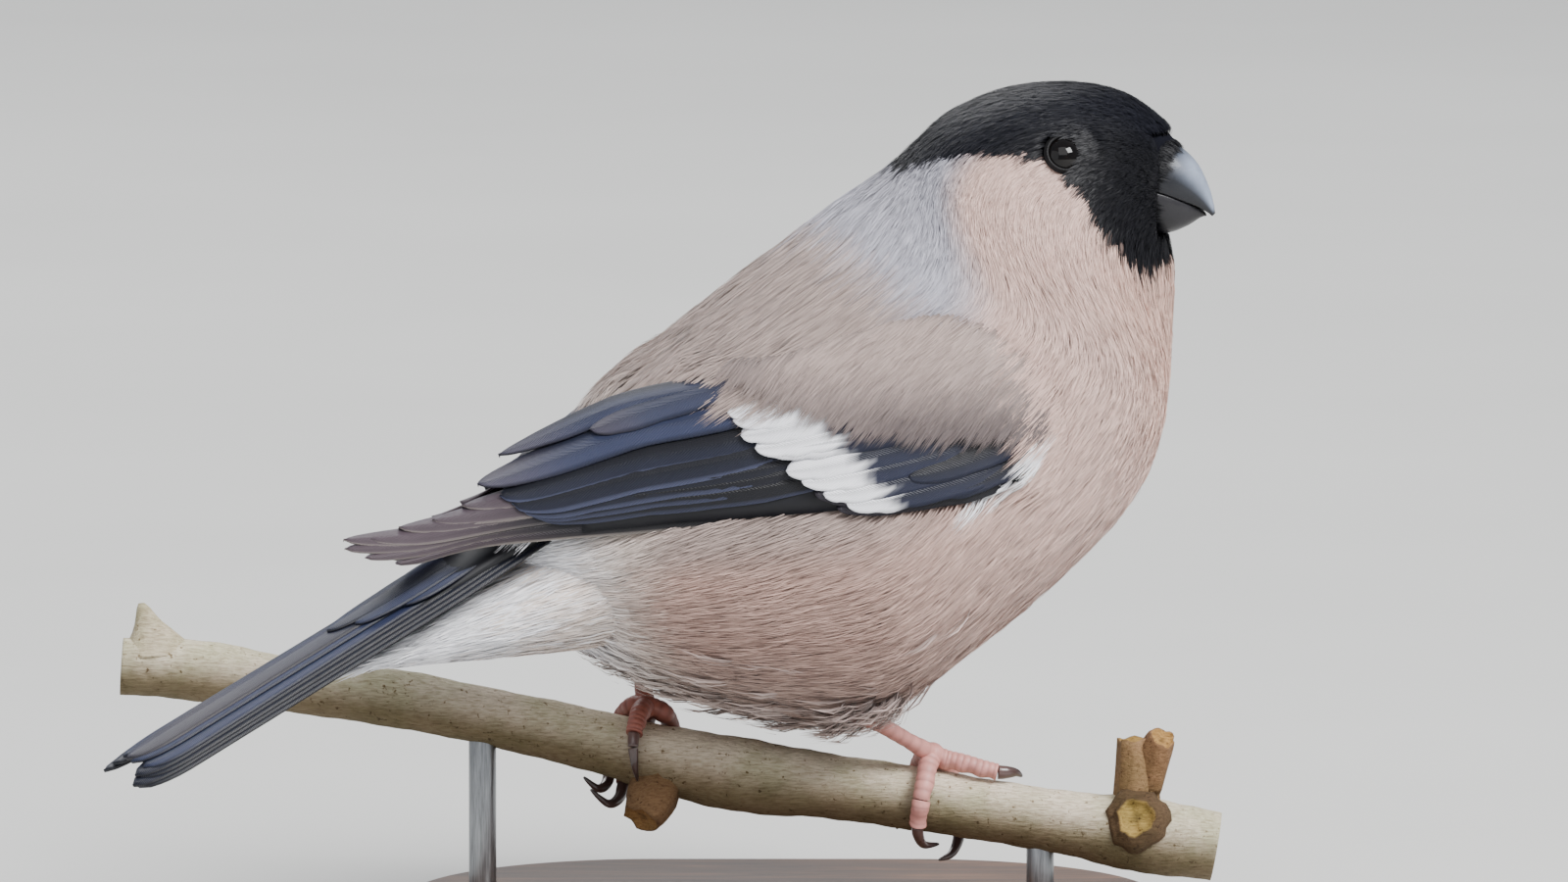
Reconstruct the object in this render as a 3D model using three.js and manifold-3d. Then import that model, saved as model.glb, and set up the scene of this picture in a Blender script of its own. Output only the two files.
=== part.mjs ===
// A life-size still model of a hen bullfinch, perched on a cut length of branch that stands on a plain base.
// Millimetres, +Z up. The origin is the middle of the base's underside. +X is the way the bill points, -Y the
// side that shows the bird's right wing. The bird is built facing +X in a frame of its own, its middle plane
// at y = 0, and a group then turns it and sets it on the branch.
import * as THREE from "three";
import { mergeVertices } from "three/addons/utils/BufferGeometryUtils.js";
import Module from "manifold-3d";

const wasm = await Module();
wasm.setup();

// Driving sizes
const GAP = 0.3; // between parts that touch
const BIRD_PLACE = [6.8, 0, 0];
const BIRD_YAW = 22; // degrees, the tail towards -Y
const HEAD_TURN = -28; // degrees, back towards the right shoulder
const RING_SIDES = 26;

// Body outline, from the rump to the foot of the bill. Each rib is a slanting slice:
// x and z on the back, x and z on the belly, half width, and how far the widest point lies above the middle.
const RIBS = [
  [-42.5, 53.5, -37.0, 45.0, 4.5, 0.0],
  [-36.0, 58.5, -32.0, 39.5, 10.5, 0.0],
  [-28.0, 66.0, -26.0, 34.6, 16.5, 0.0],
  [-18.4, 73.7, -14.0, 29.8, 22.0, 0.0],
  [-8.0, 81.0, 1.0, 27.4, 25.3, -0.05],
  [-1.0, 85.4, 15.5, 35.5, 25.6, -0.08],
  [3.4, 88.0, 29.1, 45.5, 24.0, -0.05],
  [6.7, 90.0, 37.2, 54.2, 21.8, 0.0],
  [9.0, 91.8, 40.4, 64.8, 19.4, 0.0],
  [11.4, 94.1, 41.2, 74.1, 16.8, 0.05],
  [15.5, 97.6, 41.4, 79.0, 14.6, 0.1],
  [22.0, 100.3, 41.2, 81.0, 13.0, 0.15],
  [29.5, 101.0, 41.0, 82.2, 10.6, 0.22],
  [35.5, 99.9, 40.8, 82.9, 7.6, 0.25],
  [40.0, 97.0, 40.4, 83.4, 4.8, 0.2],
  [42.2, 94.6, 40.0, 84.2, 3.0, 0.1],
];
const NECK_START = 8.0; // rib where the neck meets the torso
const NECK_END = 9.6; // rib where the head meets the neck
const NECK_GAP = 0.42; // wider, as the turn of the head narrows it
const TURN_PIVOT = 23.4; // x of the upright axis that the head turns about
const TURN_FOOT = [20, 80]; // x and z of the middle of the turning stretch
const TURN_TILT = 65; // degrees, lie of the neck above level
const TURN_REACH = [-9, 11]; // mm along the neck, from no turn to all of it

// Folded wing. Each station of its smooth outer surface: x, height of the widest line, how far its centre
// lies beyond the middle plane, half width, half height.
const WING_STATIONS = [
  [24, 59.6, 0, 23.2, 36],
  [10, 56.3, 0, 25.9, 35],
  [0, 55.0, 0, 25.9, 30.5],
  [-10, 54.0, 0, 24.1, 26],
  [-20, 53.3, 0, 20.5, 20.2],
  [-30, 52.9, 0, 15.5, 15.2],
  [-38, 52.6, 1.0, 12.6, 10.3],
  [-46, 51.8, 3.0, 11.3, 6.8],
  [-54, 49.6, 6.0, 12.0, 7.2],
  [-66, 47.4, 9.0, 12.5, 9],
];
// Lower and upper edge of the folded wing: x, z low, z high.
const WING_EDGES = [
  [18.5, 60.0, 65.5],
  [16.0, 57.2, 69.8],
  [11.0, 56.2, 73.2],
  [5.0, 55.4, 75.0],
  [-5.0, 54.6, 72.8],
  [-13.0, 54.0, 70.4],
  [-19.0, 53.5, 69.8],
  [-25.0, 53.0, 70.0],
  [-31.0, 52.3, 67.6],
  [-37.0, 51.5, 64.0],
  [-44.0, 50.3, 60.6],
  [-52.0, 48.8, 57.0],
  [-66.0, 46.5, 52.0],
];
const WING_PLATE_ENDS = 9; // rows of the edges that the wing's solid plate covers
const LEFT_WING_SHIFT = [3.0, 0.2, -0.7]; // the left wing lies this much further forward and down
const WING_DEPTH = 2.3; // the plate's inner face, below the outermost feathers

// Where a vane has its sections, as shares of its length.
const LONG_VANE = [0, 0.2, 0.4, 0.6, 0.8, 0.94, 1];
const SHORT_VANE = [0, 0.35, 0.7, 0.93, 1];
// Tiers of the wing, from the innermost feather to the outermost. root and tip hold the first and the last
// feather's x and z, swell how far the row of tips bends back and late how far along it,
// bend how late a feather turns down towards its tip, level the outer face of the first and the last.
const WING_TIERS = [
  { name: "primaries", count: 8, root: [[-8, 61.4], [2, 58.8]], tip: [[-48.4, 55.8], [-56.6, 49.0]],
    swell: 8.2, late: 1.36, bend: 2.2, width: [4.6, 3.4], level: [-0.6, -1.1], thick: 0.55, stops: LONG_VANE },
  { name: "secondaries", count: 6, root: [[-9, 66.0], [-5, 60.4]], tip: [[-44.2, 56.8], [-41.0, 54.6]],
    swell: 0, late: 1, bend: 1, width: [5.4, 4.6], level: [-0.2, -0.6], thick: 0.55, stops: LONG_VANE },
  { name: "tertials", count: 3, root: [[-9, 69.0], [-12, 72.0]], tip: [[-45.6, 57.6], [-33.4, 63.9]],
    swell: 2.2, late: 1, bend: 1, width: [6.2, 5.6], level: [0.1, 0.4], thick: 0.6, stops: LONG_VANE },
  { name: "primary_coverts", count: 3, root: [[12, 61.0], [15, 58.8]], tip: [[-12.0, 57.4], [-9.0, 55.8]],
    swell: 0, late: 1, bend: 1, width: [4.2, 3.2], level: [-0.1, -0.4], thick: 0.6, stops: SHORT_VANE },
  { name: "greater_coverts", count: 7, root: [[-3.5, 70.0], [14.5, 61.0]], tip: [[-19.8, 66.3], [-8.4, 56.2]],
    swell: 2.6, late: 1, bend: 1, width: [5.0, 4.2], level: [0.6, 0.2], thick: 0.65, stops: SHORT_VANE },
  { name: "alula", count: 2, root: [[16.0, 63.5], [16.5, 61.2]], tip: [[-1.0, 58.8], [3.0, 57.0]],
    swell: 0, late: 1, bend: 1, width: [3.6, 3.0], level: [0.4, 0.1], thick: 0.65, stops: SHORT_VANE },
];
const SHOULDER = { level: 0.75, margin: 1.2, rows: 4.6 };
const WING_ROOM = 0.6; // how far feathers may reach past the wing's edges

// Tail
const TAIL_ROOT = [-33.2, 0, 55.7];
const TAIL_DIP = 28; // degrees below level
const TAIL_ROLL = 3; // degrees, the right edge down
const TAIL_PAIRS = 6;
const TAIL_LENGTH = [60.6, 64.3]; // middle and outermost feathers
const TAIL_ROOT_SPREAD = [0.5, 0.85];
const TAIL_SPREAD = [1.2, 0.78]; // sideways place of a feather's tip: the first, and the step to the next
const TAIL_STEP_DOWN = 0.42;
const TAIL_FEATHER = { width: 5.6, thick: 0.55 };
const TAIL_COVERTS = { count: 5, length: [22, 33], width: 5.6, level: 0.75 };
const TAIL_CORE = [
  [0, 6.2, 3.6],
  [8, 6.0, 2.9],
  [18, 5.4, 1.5],
  [27, 4.6, 0.55],
];
const TAIL_BED = { top: 2.4, low: -3.8, sides: [[-GAP, 7.2], [30, 8.6], [72, 9.8]] };
const VENT = { root: [-24, 47.6], tip: [-58, 37.0], half: [12.5, 3.6], deep: [9.5, 2.6], side: -1.0 };

// Head
const EYE = { x: 30.0, z: 94.3, radius: 2.5, sunk: 1.9, lid: 2.15, rim: 1.6, lidThick: 0.45 };
// Bill: ribs of x and z along the ridge, x and z along the cutting edge, half width.
const UPPER_BILL = [
  [35.0, 94.8, 33.5, 90.2, 3.9],
  [39.5, 95.1, 37.5, 89.6, 4.5],
  [42.3, 93.7, 40.6, 88.8, 4.1],
  [44.3, 91.8, 42.8, 87.9, 3.2],
  [45.6, 89.2, 44.4, 87.1, 2.0],
  [46.2, 87.2, 45.5, 86.3, 0.95],
  [46.4, 86.0, 46.1, 85.7, 0.3],
];
const LOWER_BILL = [
  [33.5, 89.8, 33.0, 84.6, 3.9],
  [37.5, 89.2, 37.4, 83.9, 4.6],
  [40.6, 88.4, 40.8, 83.7, 4.2],
  [42.8, 87.5, 43.1, 84.5, 3.1],
  [44.4, 86.7, 44.7, 85.5, 1.6],
  [45.3, 86.0, 45.4, 85.7, 0.4],
];
const BILL_ROOM = 0.45; // what the bill's halves are grown by to cut their beds
const NOSTRIL = { x: 38.9, y: 4.0, z: 92.9, radius: 0.6 };

// Branch: x, z of its middle line and radius.
const BRANCH = [
  [-76.0, 33.7, 3.4],
  [-67.0, 33.1, 3.5],
  [-56.0, 31.4, 3.25],
  [-42.0, 29.5, 3.35],
  [-23.0, 25.4, 3.5],
  [-13.7, 22.9, 4.0],
  [-3.4, 20.8, 4.25],
  [6.8, 19.5, 3.85],
  [17.1, 18.0, 3.65],
  [28.5, 16.1, 3.7],
  [36.0, 14.9, 3.75],
  [42.7, 13.9, 4.5],
  [51.5, 12.4, 4.0],
];
const BRANCH_SIDES = 12;
const THORN = { x: -73.3, width: 4.2, height: 4.0 };
const LOW_STUB = { x: -13.2, along: [-2.2, -3.4, -6.6], radius: [3.1, 2.0] };
const KNOT = { x: 42.4, reach: 5.4, radius: [3.7, 2.0] };
const STUMP = { x: 42.6, lean: 1.0, height: 6.6, radius: [2.9, 2.0] };
const STUMP_KNOB = { x: 44.6, height: 5.6, radius: 1.9 };

// Legs. Heel and foot are places in the stand's frame; a toe is a list of steps over the branch:
// x, degrees round from the top (+ towards -Y), height of its middle above the bark.
const TOE = { root: 1.25, end: 1.0, claw: 0.62, lift: 0.15 };
const KNUCKLE = 1.45;
const SHANK = [[0, 1.5], [0.12, 1.25], [0.35, 0.95], [0.7, 0.9], [0.9, 1.1], [1, 1.1]]; // share of the way, radius
const LEGS = {
  right: {
    heel: [9.4, -10.6, 30.0],
    foot: [18.4, -1.0, 23.4],
    toes: [
      { name: "back", steps: [[18.0, 25, 1.5], [17.5, 60, 1.35], [17.0, 92, 1.25], [16.7, 120, 1.2]],
        claw: [[16.8, 138, 1.4], [17.5, 158, 1.6], [19.2, 174, 1.1]] },
      { name: "outer", steps: [[20.0, 8, 1.5], [22.0, 11, 1.5], [24.2, 14, 1.35], [26.0, 15, 1.25]],
        claw: [[27.2, 12, 1.3], [28.2, 4, 1.2], [28.9, -6, 0.8]] },
      { name: "middle", steps: [[19.2, -24, 1.5], [20.6, -60, 1.4], [21.3, -96, 1.3], [21.6, -128, 1.2]],
        claw: [[21.4, -150, 1.6], [20.6, -172, 2.3], [19.2, -196, 3.0]] },
      { name: "inner", steps: [[17.4, -28, 1.4], [16.6, -62, 1.3], [15.9, -94, 1.2]],
        claw: [[15.2, -114, 1.35], [14.6, -134, 1.35], [14.3, -152, 0.9]] },
    ],
  },
  left: {
    heel: [-16.6, 9.2, 41.5],
    foot: [-15.0, 1.2, 28.8],
    toes: [
      { name: "back", steps: [[-15.6, 22, 1.5], [-16.0, 42, 1.35], [-16.3, 58, 1.25]],
        claw: [[-16.4, 76, 1.3], [-16.2, 100, 1.2], [-15.9, 124, 0.75]] },
      { name: "outer", steps: [[-16.4, -20, 1.5], [-17.8, -54, 1.35], [-18.8, -92, 1.25], [-19.2, -132, 1.2]],
        claw: [[-19.6, -156, 1.5], [-20.6, -178, 1.6], [-22.2, -186, 0.8]] },
      { name: "middle", steps: [[-14.6, -24, 1.5], [-15.2, -64, 1.4], [-16.4, -104, 1.3], [-17.6, -146, 1.5]],
        claw: [[-18.1, -166, 2.3], [-19.4, -186, 2.9], [-21.4, -196, 2.0]] },
      { name: "inner", steps: [[-13.0, -20, 1.4], [-12.0, -54, 1.3], [-11.2, -88, 1.2]],
        claw: [[-10.8, -108, 1.35], [-10.5, -130, 1.3], [-10.3, -150, 0.8]] },
    ],
  },
};

// Stand
const BASE = { x: 1.0, length: 88, width: 58, height: 7, round: 1.2 };
const RODS = [-34, 31];
const ROD_RADIUS = 1.6;

// Finishes, as colour, roughness and metalness
const FINISH = {
  plumage: [0xa5897b, 0.85, 0],
  grey: [0x9b938f, 0.85, 0],
  cap: [0x14141a, 0.6, 0],
  flight: [0x2c3350, 0.5, 0],
  tail: [0x39415f, 0.5, 0],
  bill: [0x3d4047, 0.4, 0],
  eye: [0x060506, 0.05, 0],
  leg: [0xa5655a, 0.6, 0],
  claw: [0x2b2222, 0.4, 0],
  bark: [0x8c7a5f, 0.9, 0],
  base: [0x6b4a33, 0.5, 0],
  rod: [0x8a8d90, 0.35, 0.9],
};

const rad = THREE.MathUtils.degToRad;
const mix = THREE.MathUtils.lerp;
const V = (x, y, z) => new THREE.Vector3(x, y, z);

// Tools: curves through rows of sizes, lofts, and solids

// A smooth value between the rows of a table, at a place counted in rows.
function rowAt(table, place) {
  const last = table.length - 1;
  const p = Math.min(Math.max(place, 0), last);
  const i = Math.min(Math.floor(p), last - 1);
  const t = p - i;
  const row = (k) => table[Math.min(Math.max(k, 0), last)];
  const [a, b, c, d] = [row(i - 1), row(i), row(i + 1), row(i + 2)];
  return b.map(
    (_, k) =>
      0.5 *
      (2 * b[k] + (c[k] - a[k]) * t + (2 * a[k] - 5 * b[k] + 4 * c[k] - d[k]) * t * t +
        (3 * b[k] - a[k] - 3 * c[k] + d[k]) * t ** 3),
  );
}

// The same by the table's first column, which runs one way.
function rowWhere(table, value) {
  const sign = Math.sign(table[table.length - 1][0] - table[0][0]);
  let i = 0;
  while (i < table.length - 2 && (value - table[i + 1][0]) * sign > 0) i += 1;
  const share = (value - table[i][0]) / (table[i + 1][0] - table[i][0]);
  return rowAt(table, i + Math.min(Math.max(share, 0), 1));
}

// A closed skin over rings of as many points each, its ends closed by fans. From point flipFrom on the
// quads are split the other way, so that both faces of a thin vane have the same triangles.
function loft(rings, flipFrom = Infinity) {
  const n = rings[0].length;
  const points = rings.flat();
  const faces = [];
  for (let i = 0; i + 1 < rings.length; i += 1)
    for (let j = 0; j < n; j += 1) {
      const [a, b] = [i * n + j, i * n + ((j + 1) % n)];
      const [c, d] = [a + n, b + n];
      if (j >= flipFrom) faces.push(a, b, c, b, d, c);
      else faces.push(a, b, d, a, d, c);
    }
  [0, rings.length - 1].forEach((i) => {
    const middle = rings[i].reduce((sum, p) => sum.add(p), V(0, 0, 0)).divideScalar(n);
    const hub = points.push(middle) - 1;
    for (let j = 0; j < n; j += 1) {
      const [a, b] = [i * n + j, i * n + ((j + 1) % n)];
      if (i === 0) faces.push(hub, b, a);
      else faces.push(hub, a, b);
    }
  });
  return new THREE.BufferGeometry().setFromPoints(points).setIndex(faces);
}

function solid(geometry) {
  const bare = geometry.clone();
  bare.deleteAttribute("normal");
  bare.deleteAttribute("uv");
  const merged = mergeVertices(bare, 1e-4);
  const triVerts = new Uint32Array(merged.index.array);
  const vertProperties = merged.attributes.position.array;
  const made = new wasm.Manifold(new wasm.Mesh({ numProp: 3, vertProperties, triVerts }));
  if (made.volume() > 0) return made;
  for (let i = 0; i < triVerts.length; i += 3)
    [triVerts[i + 1], triVerts[i + 2]] = [triVerts[i + 2], triVerts[i + 1]];
  return new wasm.Manifold(new wasm.Mesh({ numProp: 3, vertProperties, triVerts }));
}

function surface(made) {
  const { vertProperties, triVerts, numProp } = made.getMesh();
  const points = [];
  for (let i = 0; i < vertProperties.length; i += numProp) points.push(V(...vertProperties.subarray(i, i + 3)));
  return new THREE.BufferGeometry().setFromPoints(points).setIndex([...triVerts]);
}

const join = (solids) => solids.reduce((sum, s) => sum.add(s));
const moved = (made, matrix) => solid(surface(made).applyMatrix4(matrix));
const mirror = (made) => moved(made, new THREE.Matrix4().makeScale(1, -1, 1));
const shift = (x, y, z) => new THREE.Matrix4().makeTranslation(x, y, z);
const turn = (x, y, z) => new THREE.Matrix4().makeRotationFromEuler(new THREE.Euler(rad(x), rad(y), rad(z), "ZYX"));

// The largest closed body, without loose scraps and sealed hollows.
function largest(made) {
  return made.decompose().sort((a, b) => b.volume() - a.volume())[0];
}

// A tube along points, each with its own radius; tall stretches its section upwards.
function tube(points, radii, sides = 10, tall = 1) {
  const rings = points.map((p, i) => {
    const ahead = points[Math.min(i + 1, points.length - 1)];
    const behind = points[Math.max(i - 1, 0)];
    const along = ahead.clone().sub(behind).normalize();
    const side = V(0, 0, 1).cross(along);
    if (side.length() < 0.2) side.copy(V(0, 1, 0).cross(along));
    side.normalize();
    const up = along.clone().cross(side);
    return Array.from({ length: sides }, (_, j) => {
      const a = (2 * Math.PI * j) / sides;
      return p.clone()
        .addScaledVector(side, radii[i] * Math.cos(a))
        .addScaledVector(up, radii[i] * tall * Math.sin(a));
    });
  });
  return solid(loft(rings));
}

function smoothPath(points, steps) {
  return new THREE.CatmullRomCurve3(points, false, "centripetal").getPoints(steps);
}

// Body

function bodyPoint(place, angle, grow = 0) {
  const [backX, backZ, bellyX, bellyZ, half, lift] = rowAt(RIBS, place);
  const down = (1 - Math.cos(angle)) / 2;
  const p = V(
    mix(backX, bellyX, down),
    half * Math.sin(angle + lift * Math.sin(angle)),
    mix(backZ, bellyZ, down),
  );
  const middle = V((backX + bellyX) / 2, 0, (backZ + bellyZ) / 2);
  return p.addScaledVector(p.clone().sub(middle).normalize(), grow);
}

// The body between two ribs, its end faces set back from the cuts by half a gap.
function bodyStretch(from, to, steps) {
  const rings = [];
  for (let i = 0; i <= steps; i += 1) {
    const place = mix(from, to, i / steps);
    const ring = Array.from({ length: RING_SIDES }, (_, j) =>
      bodyPoint(place, (2 * Math.PI * j) / RING_SIDES),
    );
    const cut = (i === 0 && from > 0) || (i === steps && to < RIBS.length - 1);
    if (cut) {
      const [backX, backZ, bellyX, bellyZ] = rowAt(RIBS, place);
      const ahead = V(backZ - bellyZ, 0, bellyX - backX).normalize();
      ring.forEach((p) => p.addScaledVector(ahead, (i === 0 ? NECK_GAP : -NECK_GAP) / 2));
    }
    rings.push(ring);
  }
  return solid(loft(rings));
}

// Turns what lies up the neck about the upright axis, by more the further up it is.
function turnHead(made) {
  const tilt = rad(TURN_TILT);
  const geometry = surface(made);
  const points = geometry.attributes.position;
  const p = V(0, 0, 0);
  for (let i = 0; i < points.count; i += 1) {
    p.fromBufferAttribute(points, i);
    const along = (p.x - TURN_FOOT[0]) * Math.cos(tilt) + (p.z - TURN_FOOT[1]) * Math.sin(tilt);
    const share = THREE.MathUtils.smoothstep(along, ...TURN_REACH);
    p.x -= TURN_PIVOT;
    p.applyAxisAngle(V(0, 0, 1), rad(HEAD_TURN) * share);
    points.setXYZ(i, p.x + TURN_PIVOT, p.y, p.z);
  }
  return solid(geometry);
}

// The place on the body's right side at this x and z, and the direction straight out of it.
function bodySpot(x, z) {
  const off = (p) => (p.x - x) ** 2 + (p.z - z) ** 2;
  let best = [9, Math.PI / 2];
  for (let reach = 4; reach > 0.001; reach *= 0.6)
    for (const [ds, da] of [[1, 0], [-1, 0], [0, 1], [0, -1], [1, 1], [-1, -1], [1, -1], [-1, 1]]) {
      const next = [best[0] + ds * reach, best[1] + da * reach * 0.4];
      if (off(bodyPoint(...next)) < off(bodyPoint(...best))) best = next;
    }
  const [s, a] = best;
  const point = bodyPoint(s, a);
  const round = bodyPoint(s, a + 0.01).sub(point);
  const along = bodyPoint(s + 0.01, a).sub(point);
  const out = round.cross(along).normalize();
  if (out.y < 0) out.negate();
  return { point, out };
}

// Wing

function wingFrame(x, angle, level = 0) {
  const at = (px, pa) => {
    const [, middle, beyond, half, high] = rowWhere(WING_STATIONS, px);
    return V(px, beyond - half * Math.sin(pa), middle + high * Math.cos(pa));
  };
  const [place, step] = [at(x, angle), 0.02];
  const round = at(x, angle + step).sub(at(x, angle - step)).divideScalar(2 * step);
  const along = at(x + step, angle).sub(at(x - step, angle)).normalize();
  const out = round.clone().cross(along).normalize();
  if (out.y > 0 && angle > 0.3) out.negate();
  if (out.z < 0 && angle <= 0.3) out.negate();
  return { point: place.addScaledVector(out, level), metric: round.length() };
}

function wingAngle(x, z) {
  const [, middle, , , high] = rowWhere(WING_STATIONS, x);
  return Math.acos(Math.min(Math.max((z - middle) / high, -0.99), 0.995));
}

// Half width of a vane along its length, as a share of the widest: narrow at the quill, round at the tip.
function vaneShape(t, point = 0.3) {
  const quill = 0.6 + 0.4 * THREE.MathUtils.smoothstep(t, 0, 0.35);
  const tip = t > 1 - point ? Math.sqrt(Math.max(1 - ((t - 1 + point) / point) ** 2, 0)) : 1;
  return Math.max(quill * tip, 0.12);
}

// One feather of the folded wing, lying on the wing's surface, its upper edge tucked in by tuck.
function wingVane(root, tip, { width, thick, level, bend, stops, tuck = 0.45 }) {
  const [from, to] = [wingAngle(...root), wingAngle(...tip)];
  const rings = stops.map((t) => {
    const [x, angle] = [mix(root[0], tip[0], t), mix(from, to, t ** bend)];
    const { metric } = wingFrame(x, angle);
    const lie = V(tip[0] - root[0], (to - from) * metric, 0).normalize();
    const half = (width / 2) * vaneShape(t);
    const edge = (side, drop) => {
      const over = side * half;
      const angleHere = Math.max(angle - (over * -lie.x) / metric, 0.05);
      return wingFrame(x - over * -lie.y, angleHere, level - drop - (side > 0 ? tuck : 0)).point;
    };
    return [edge(-1, 0), edge(1, 0), edge(1, thick), edge(-1, thick)];
  });
  return solid(loft(rings, 2));
}

function tierVanes(tier) {
  return Array.from({ length: tier.count }, (_, i) => {
    const t = tier.count > 1 ? i / (tier.count - 1) : 0;
    const at = (ends) => [mix(ends[0][0], ends[1][0], t), mix(ends[0][1], ends[1][1], t)];
    const tip = at(tier.tip);
    tip[0] -= tier.swell * Math.sin(Math.PI * t ** tier.late);
    return wingVane(at(tier.root), tip, {
      width: mix(...tier.width, t),
      thick: tier.thick,
      level: mix(...tier.level, t),
      bend: tier.bend,
      stops: tier.stops,
    });
  });
}

// A slab of the folded wing between two levels, drawn in from its edges by margin, or grown past them.
function wingSlab(inner, outer, margin, rows, [steps, across] = [10, 5]) {
  const order = Array.from({ length: across + 1 }, (_, k) => k);
  const rings = Array.from({ length: steps + 1 }, (_, i) => {
    const [x, low, high] = rowAt(WING_EDGES, (rows * i) / steps);
    const end = i === 0 ? -margin : i === steps ? margin : 0;
    const edge = (level, ks) =>
      ks.map((k) => wingFrame(x + end, wingAngle(x, mix(low + margin, high - margin, k / across)), level).point);
    return [...edge(outer, order), ...edge(inner, [...order].reverse())];
  });
  return solid(loft(rings, across + 1));
}

function wing() {
  const plate = wingSlab(-WING_DEPTH, -1.0, 0.8, WING_PLATE_ENDS, [9, 4]);
  const shoulder = wingSlab(-1.8, SHOULDER.level, SHOULDER.margin, SHOULDER.rows, [6, 4]);
  const reach = wingSlab(-WING_DEPTH - 0.1, 4, -WING_ROOM, WING_EDGES.length - 1, [12, 4]);
  return largest(join([plate, shoulder, ...WING_TIERS.flatMap(tierVanes)]).intersect(reach));
}

function wingBed() {
  return wingSlab(-WING_DEPTH - GAP - 0.2, 7, -WING_ROOM - GAP - 0.15, WING_EDGES.length - 1, [12, 4]);
}

// Tail, built along its own axes: x back along the quills, y to the bird's right, z up

function tailVane(side, rank, length, width, thick, level, spread) {
  const rootY = side * (TAIL_ROOT_SPREAD[0] + TAIL_ROOT_SPREAD[1] * rank);
  const tipY = side * spread;
  const stops = [0, 0.4, 0.85, 0.97, 1];
  const rings = stops.map((t) => {
    const y = mix(rootY, tipY, t);
    const half = (width / 2) * vaneShape(t, 0.16);
    const edge = (across, drop) => {
      const here = y + across * half;
      return V(t * length, here, level - 0.012 * here * here - drop);
    };
    return [edge(-1, 0), edge(1, 0), edge(1, thick), edge(-1, thick)];
  });
  return solid(loft(rings, 2));
}

function tailCore(grow = 0) {
  const rings = TAIL_CORE.map(([x, half, deep], i) =>
    Array.from({ length: 14 }, (_, j) => {
      const a = (2 * Math.PI * j) / 14;
      const end = i === 0 ? -grow : 0;
      return V(x + end, (half + grow) * Math.cos(a), -0.9 + (deep + grow) * Math.sin(a));
    }),
  );
  return solid(loft(rings));
}

function tailFeathers() {
  const vanes = [];
  for (let rank = TAIL_PAIRS - 1; rank >= 0; rank -= 1)
    for (const side of [-1, 1]) {
      const t = rank / (TAIL_PAIRS - 1);
      const spread = TAIL_SPREAD[0] + TAIL_SPREAD[1] * rank;
      // the left feather of each pair lies under the right one
      const level = 0.4 - TAIL_STEP_DOWN * rank - (side > 0 ? 0.2 : 0);
      vanes.push(
        tailVane(side, rank, mix(...TAIL_LENGTH, t), TAIL_FEATHER.width, TAIL_FEATHER.thick, level, spread),
      );
    }
  return vanes;
}

function tailCoverts() {
  const { count, length, width, level } = TAIL_COVERTS;
  return Array.from({ length: count }, (_, i) => {
    const side = i % 2 ? 1 : -1;
    const t = i / (count - 1);
    return tailVane(side, 0, mix(...length, 1 - t), width, 0.7, level - 0.12 * i, 0.8 + 0.85 * i);
  });
}

function placeTail(made) {
  return moved(made, shift(...TAIL_ROOT).multiply(turn(-TAIL_ROLL, TAIL_DIP, 180)));
}

function tail() {
  return placeTail(largest(join([tailCore(), ...tailFeathers(), ...tailCoverts()])));
}

// The room that the tail takes up, for cutting its bed in the body.
function tailBed() {
  const { top, low, sides } = TAIL_BED;
  const rings = sides.map(([x, half]) => [V(x, -half, top), V(x, half, top), V(x, half, low), V(x, -half, low)]);
  return placeTail(join([tailCore(GAP), solid(loft(rings))]));
}

// The long white feathers under the tail, as one tapering form of the body.
function ventWedge() {
  const steps = 7;
  const rings = Array.from({ length: steps + 1 }, (_, i) => {
    const t = i / steps;
    const [x, z] = [mix(VENT.root[0], VENT.tip[0], t), mix(VENT.root[1], VENT.tip[1], t)];
    const ease = Math.sqrt(1 - 0.96 * t * t);
    return Array.from({ length: 14 }, (_, j) => {
      const a = (2 * Math.PI * j) / 14;
      const half = mix(VENT.half[0], VENT.half[1], t) * ease;
      const deep = mix(VENT.deep[0], VENT.deep[1], t) * ease;
      return V(x, VENT.side * t + half * Math.cos(a), z + deep * Math.sin(a));
    });
  });
  return solid(loft(rings));
}

// Head details

// An eye's middle and the way it looks, on the left for side 1 and the right for -1.
function eyePlace(side) {
  const { point, out } = bodySpot(EYE.x, EYE.z);
  const look = V(out.x, side * out.y, out.z);
  point.y *= side;
  return { middle: point.addScaledVector(look, -EYE.sunk), look };
}

function ball(centre, radius, detail = 12) {
  const g = new THREE.SphereGeometry(radius, detail, Math.ceil(detail / 2) + 1);
  return solid(g.translate(...centre));
}

// The ring of lids round an eye, standing on the cheek.
function lids(side) {
  const { middle, look } = eyePlace(side);
  const g = new THREE.TorusGeometry(EYE.lid, EYE.lidThick, 4, 14);
  g.lookAt(look);
  const rim = middle.addScaledVector(look, EYE.rim);
  return solid(g.translate(...rim));
}

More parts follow.
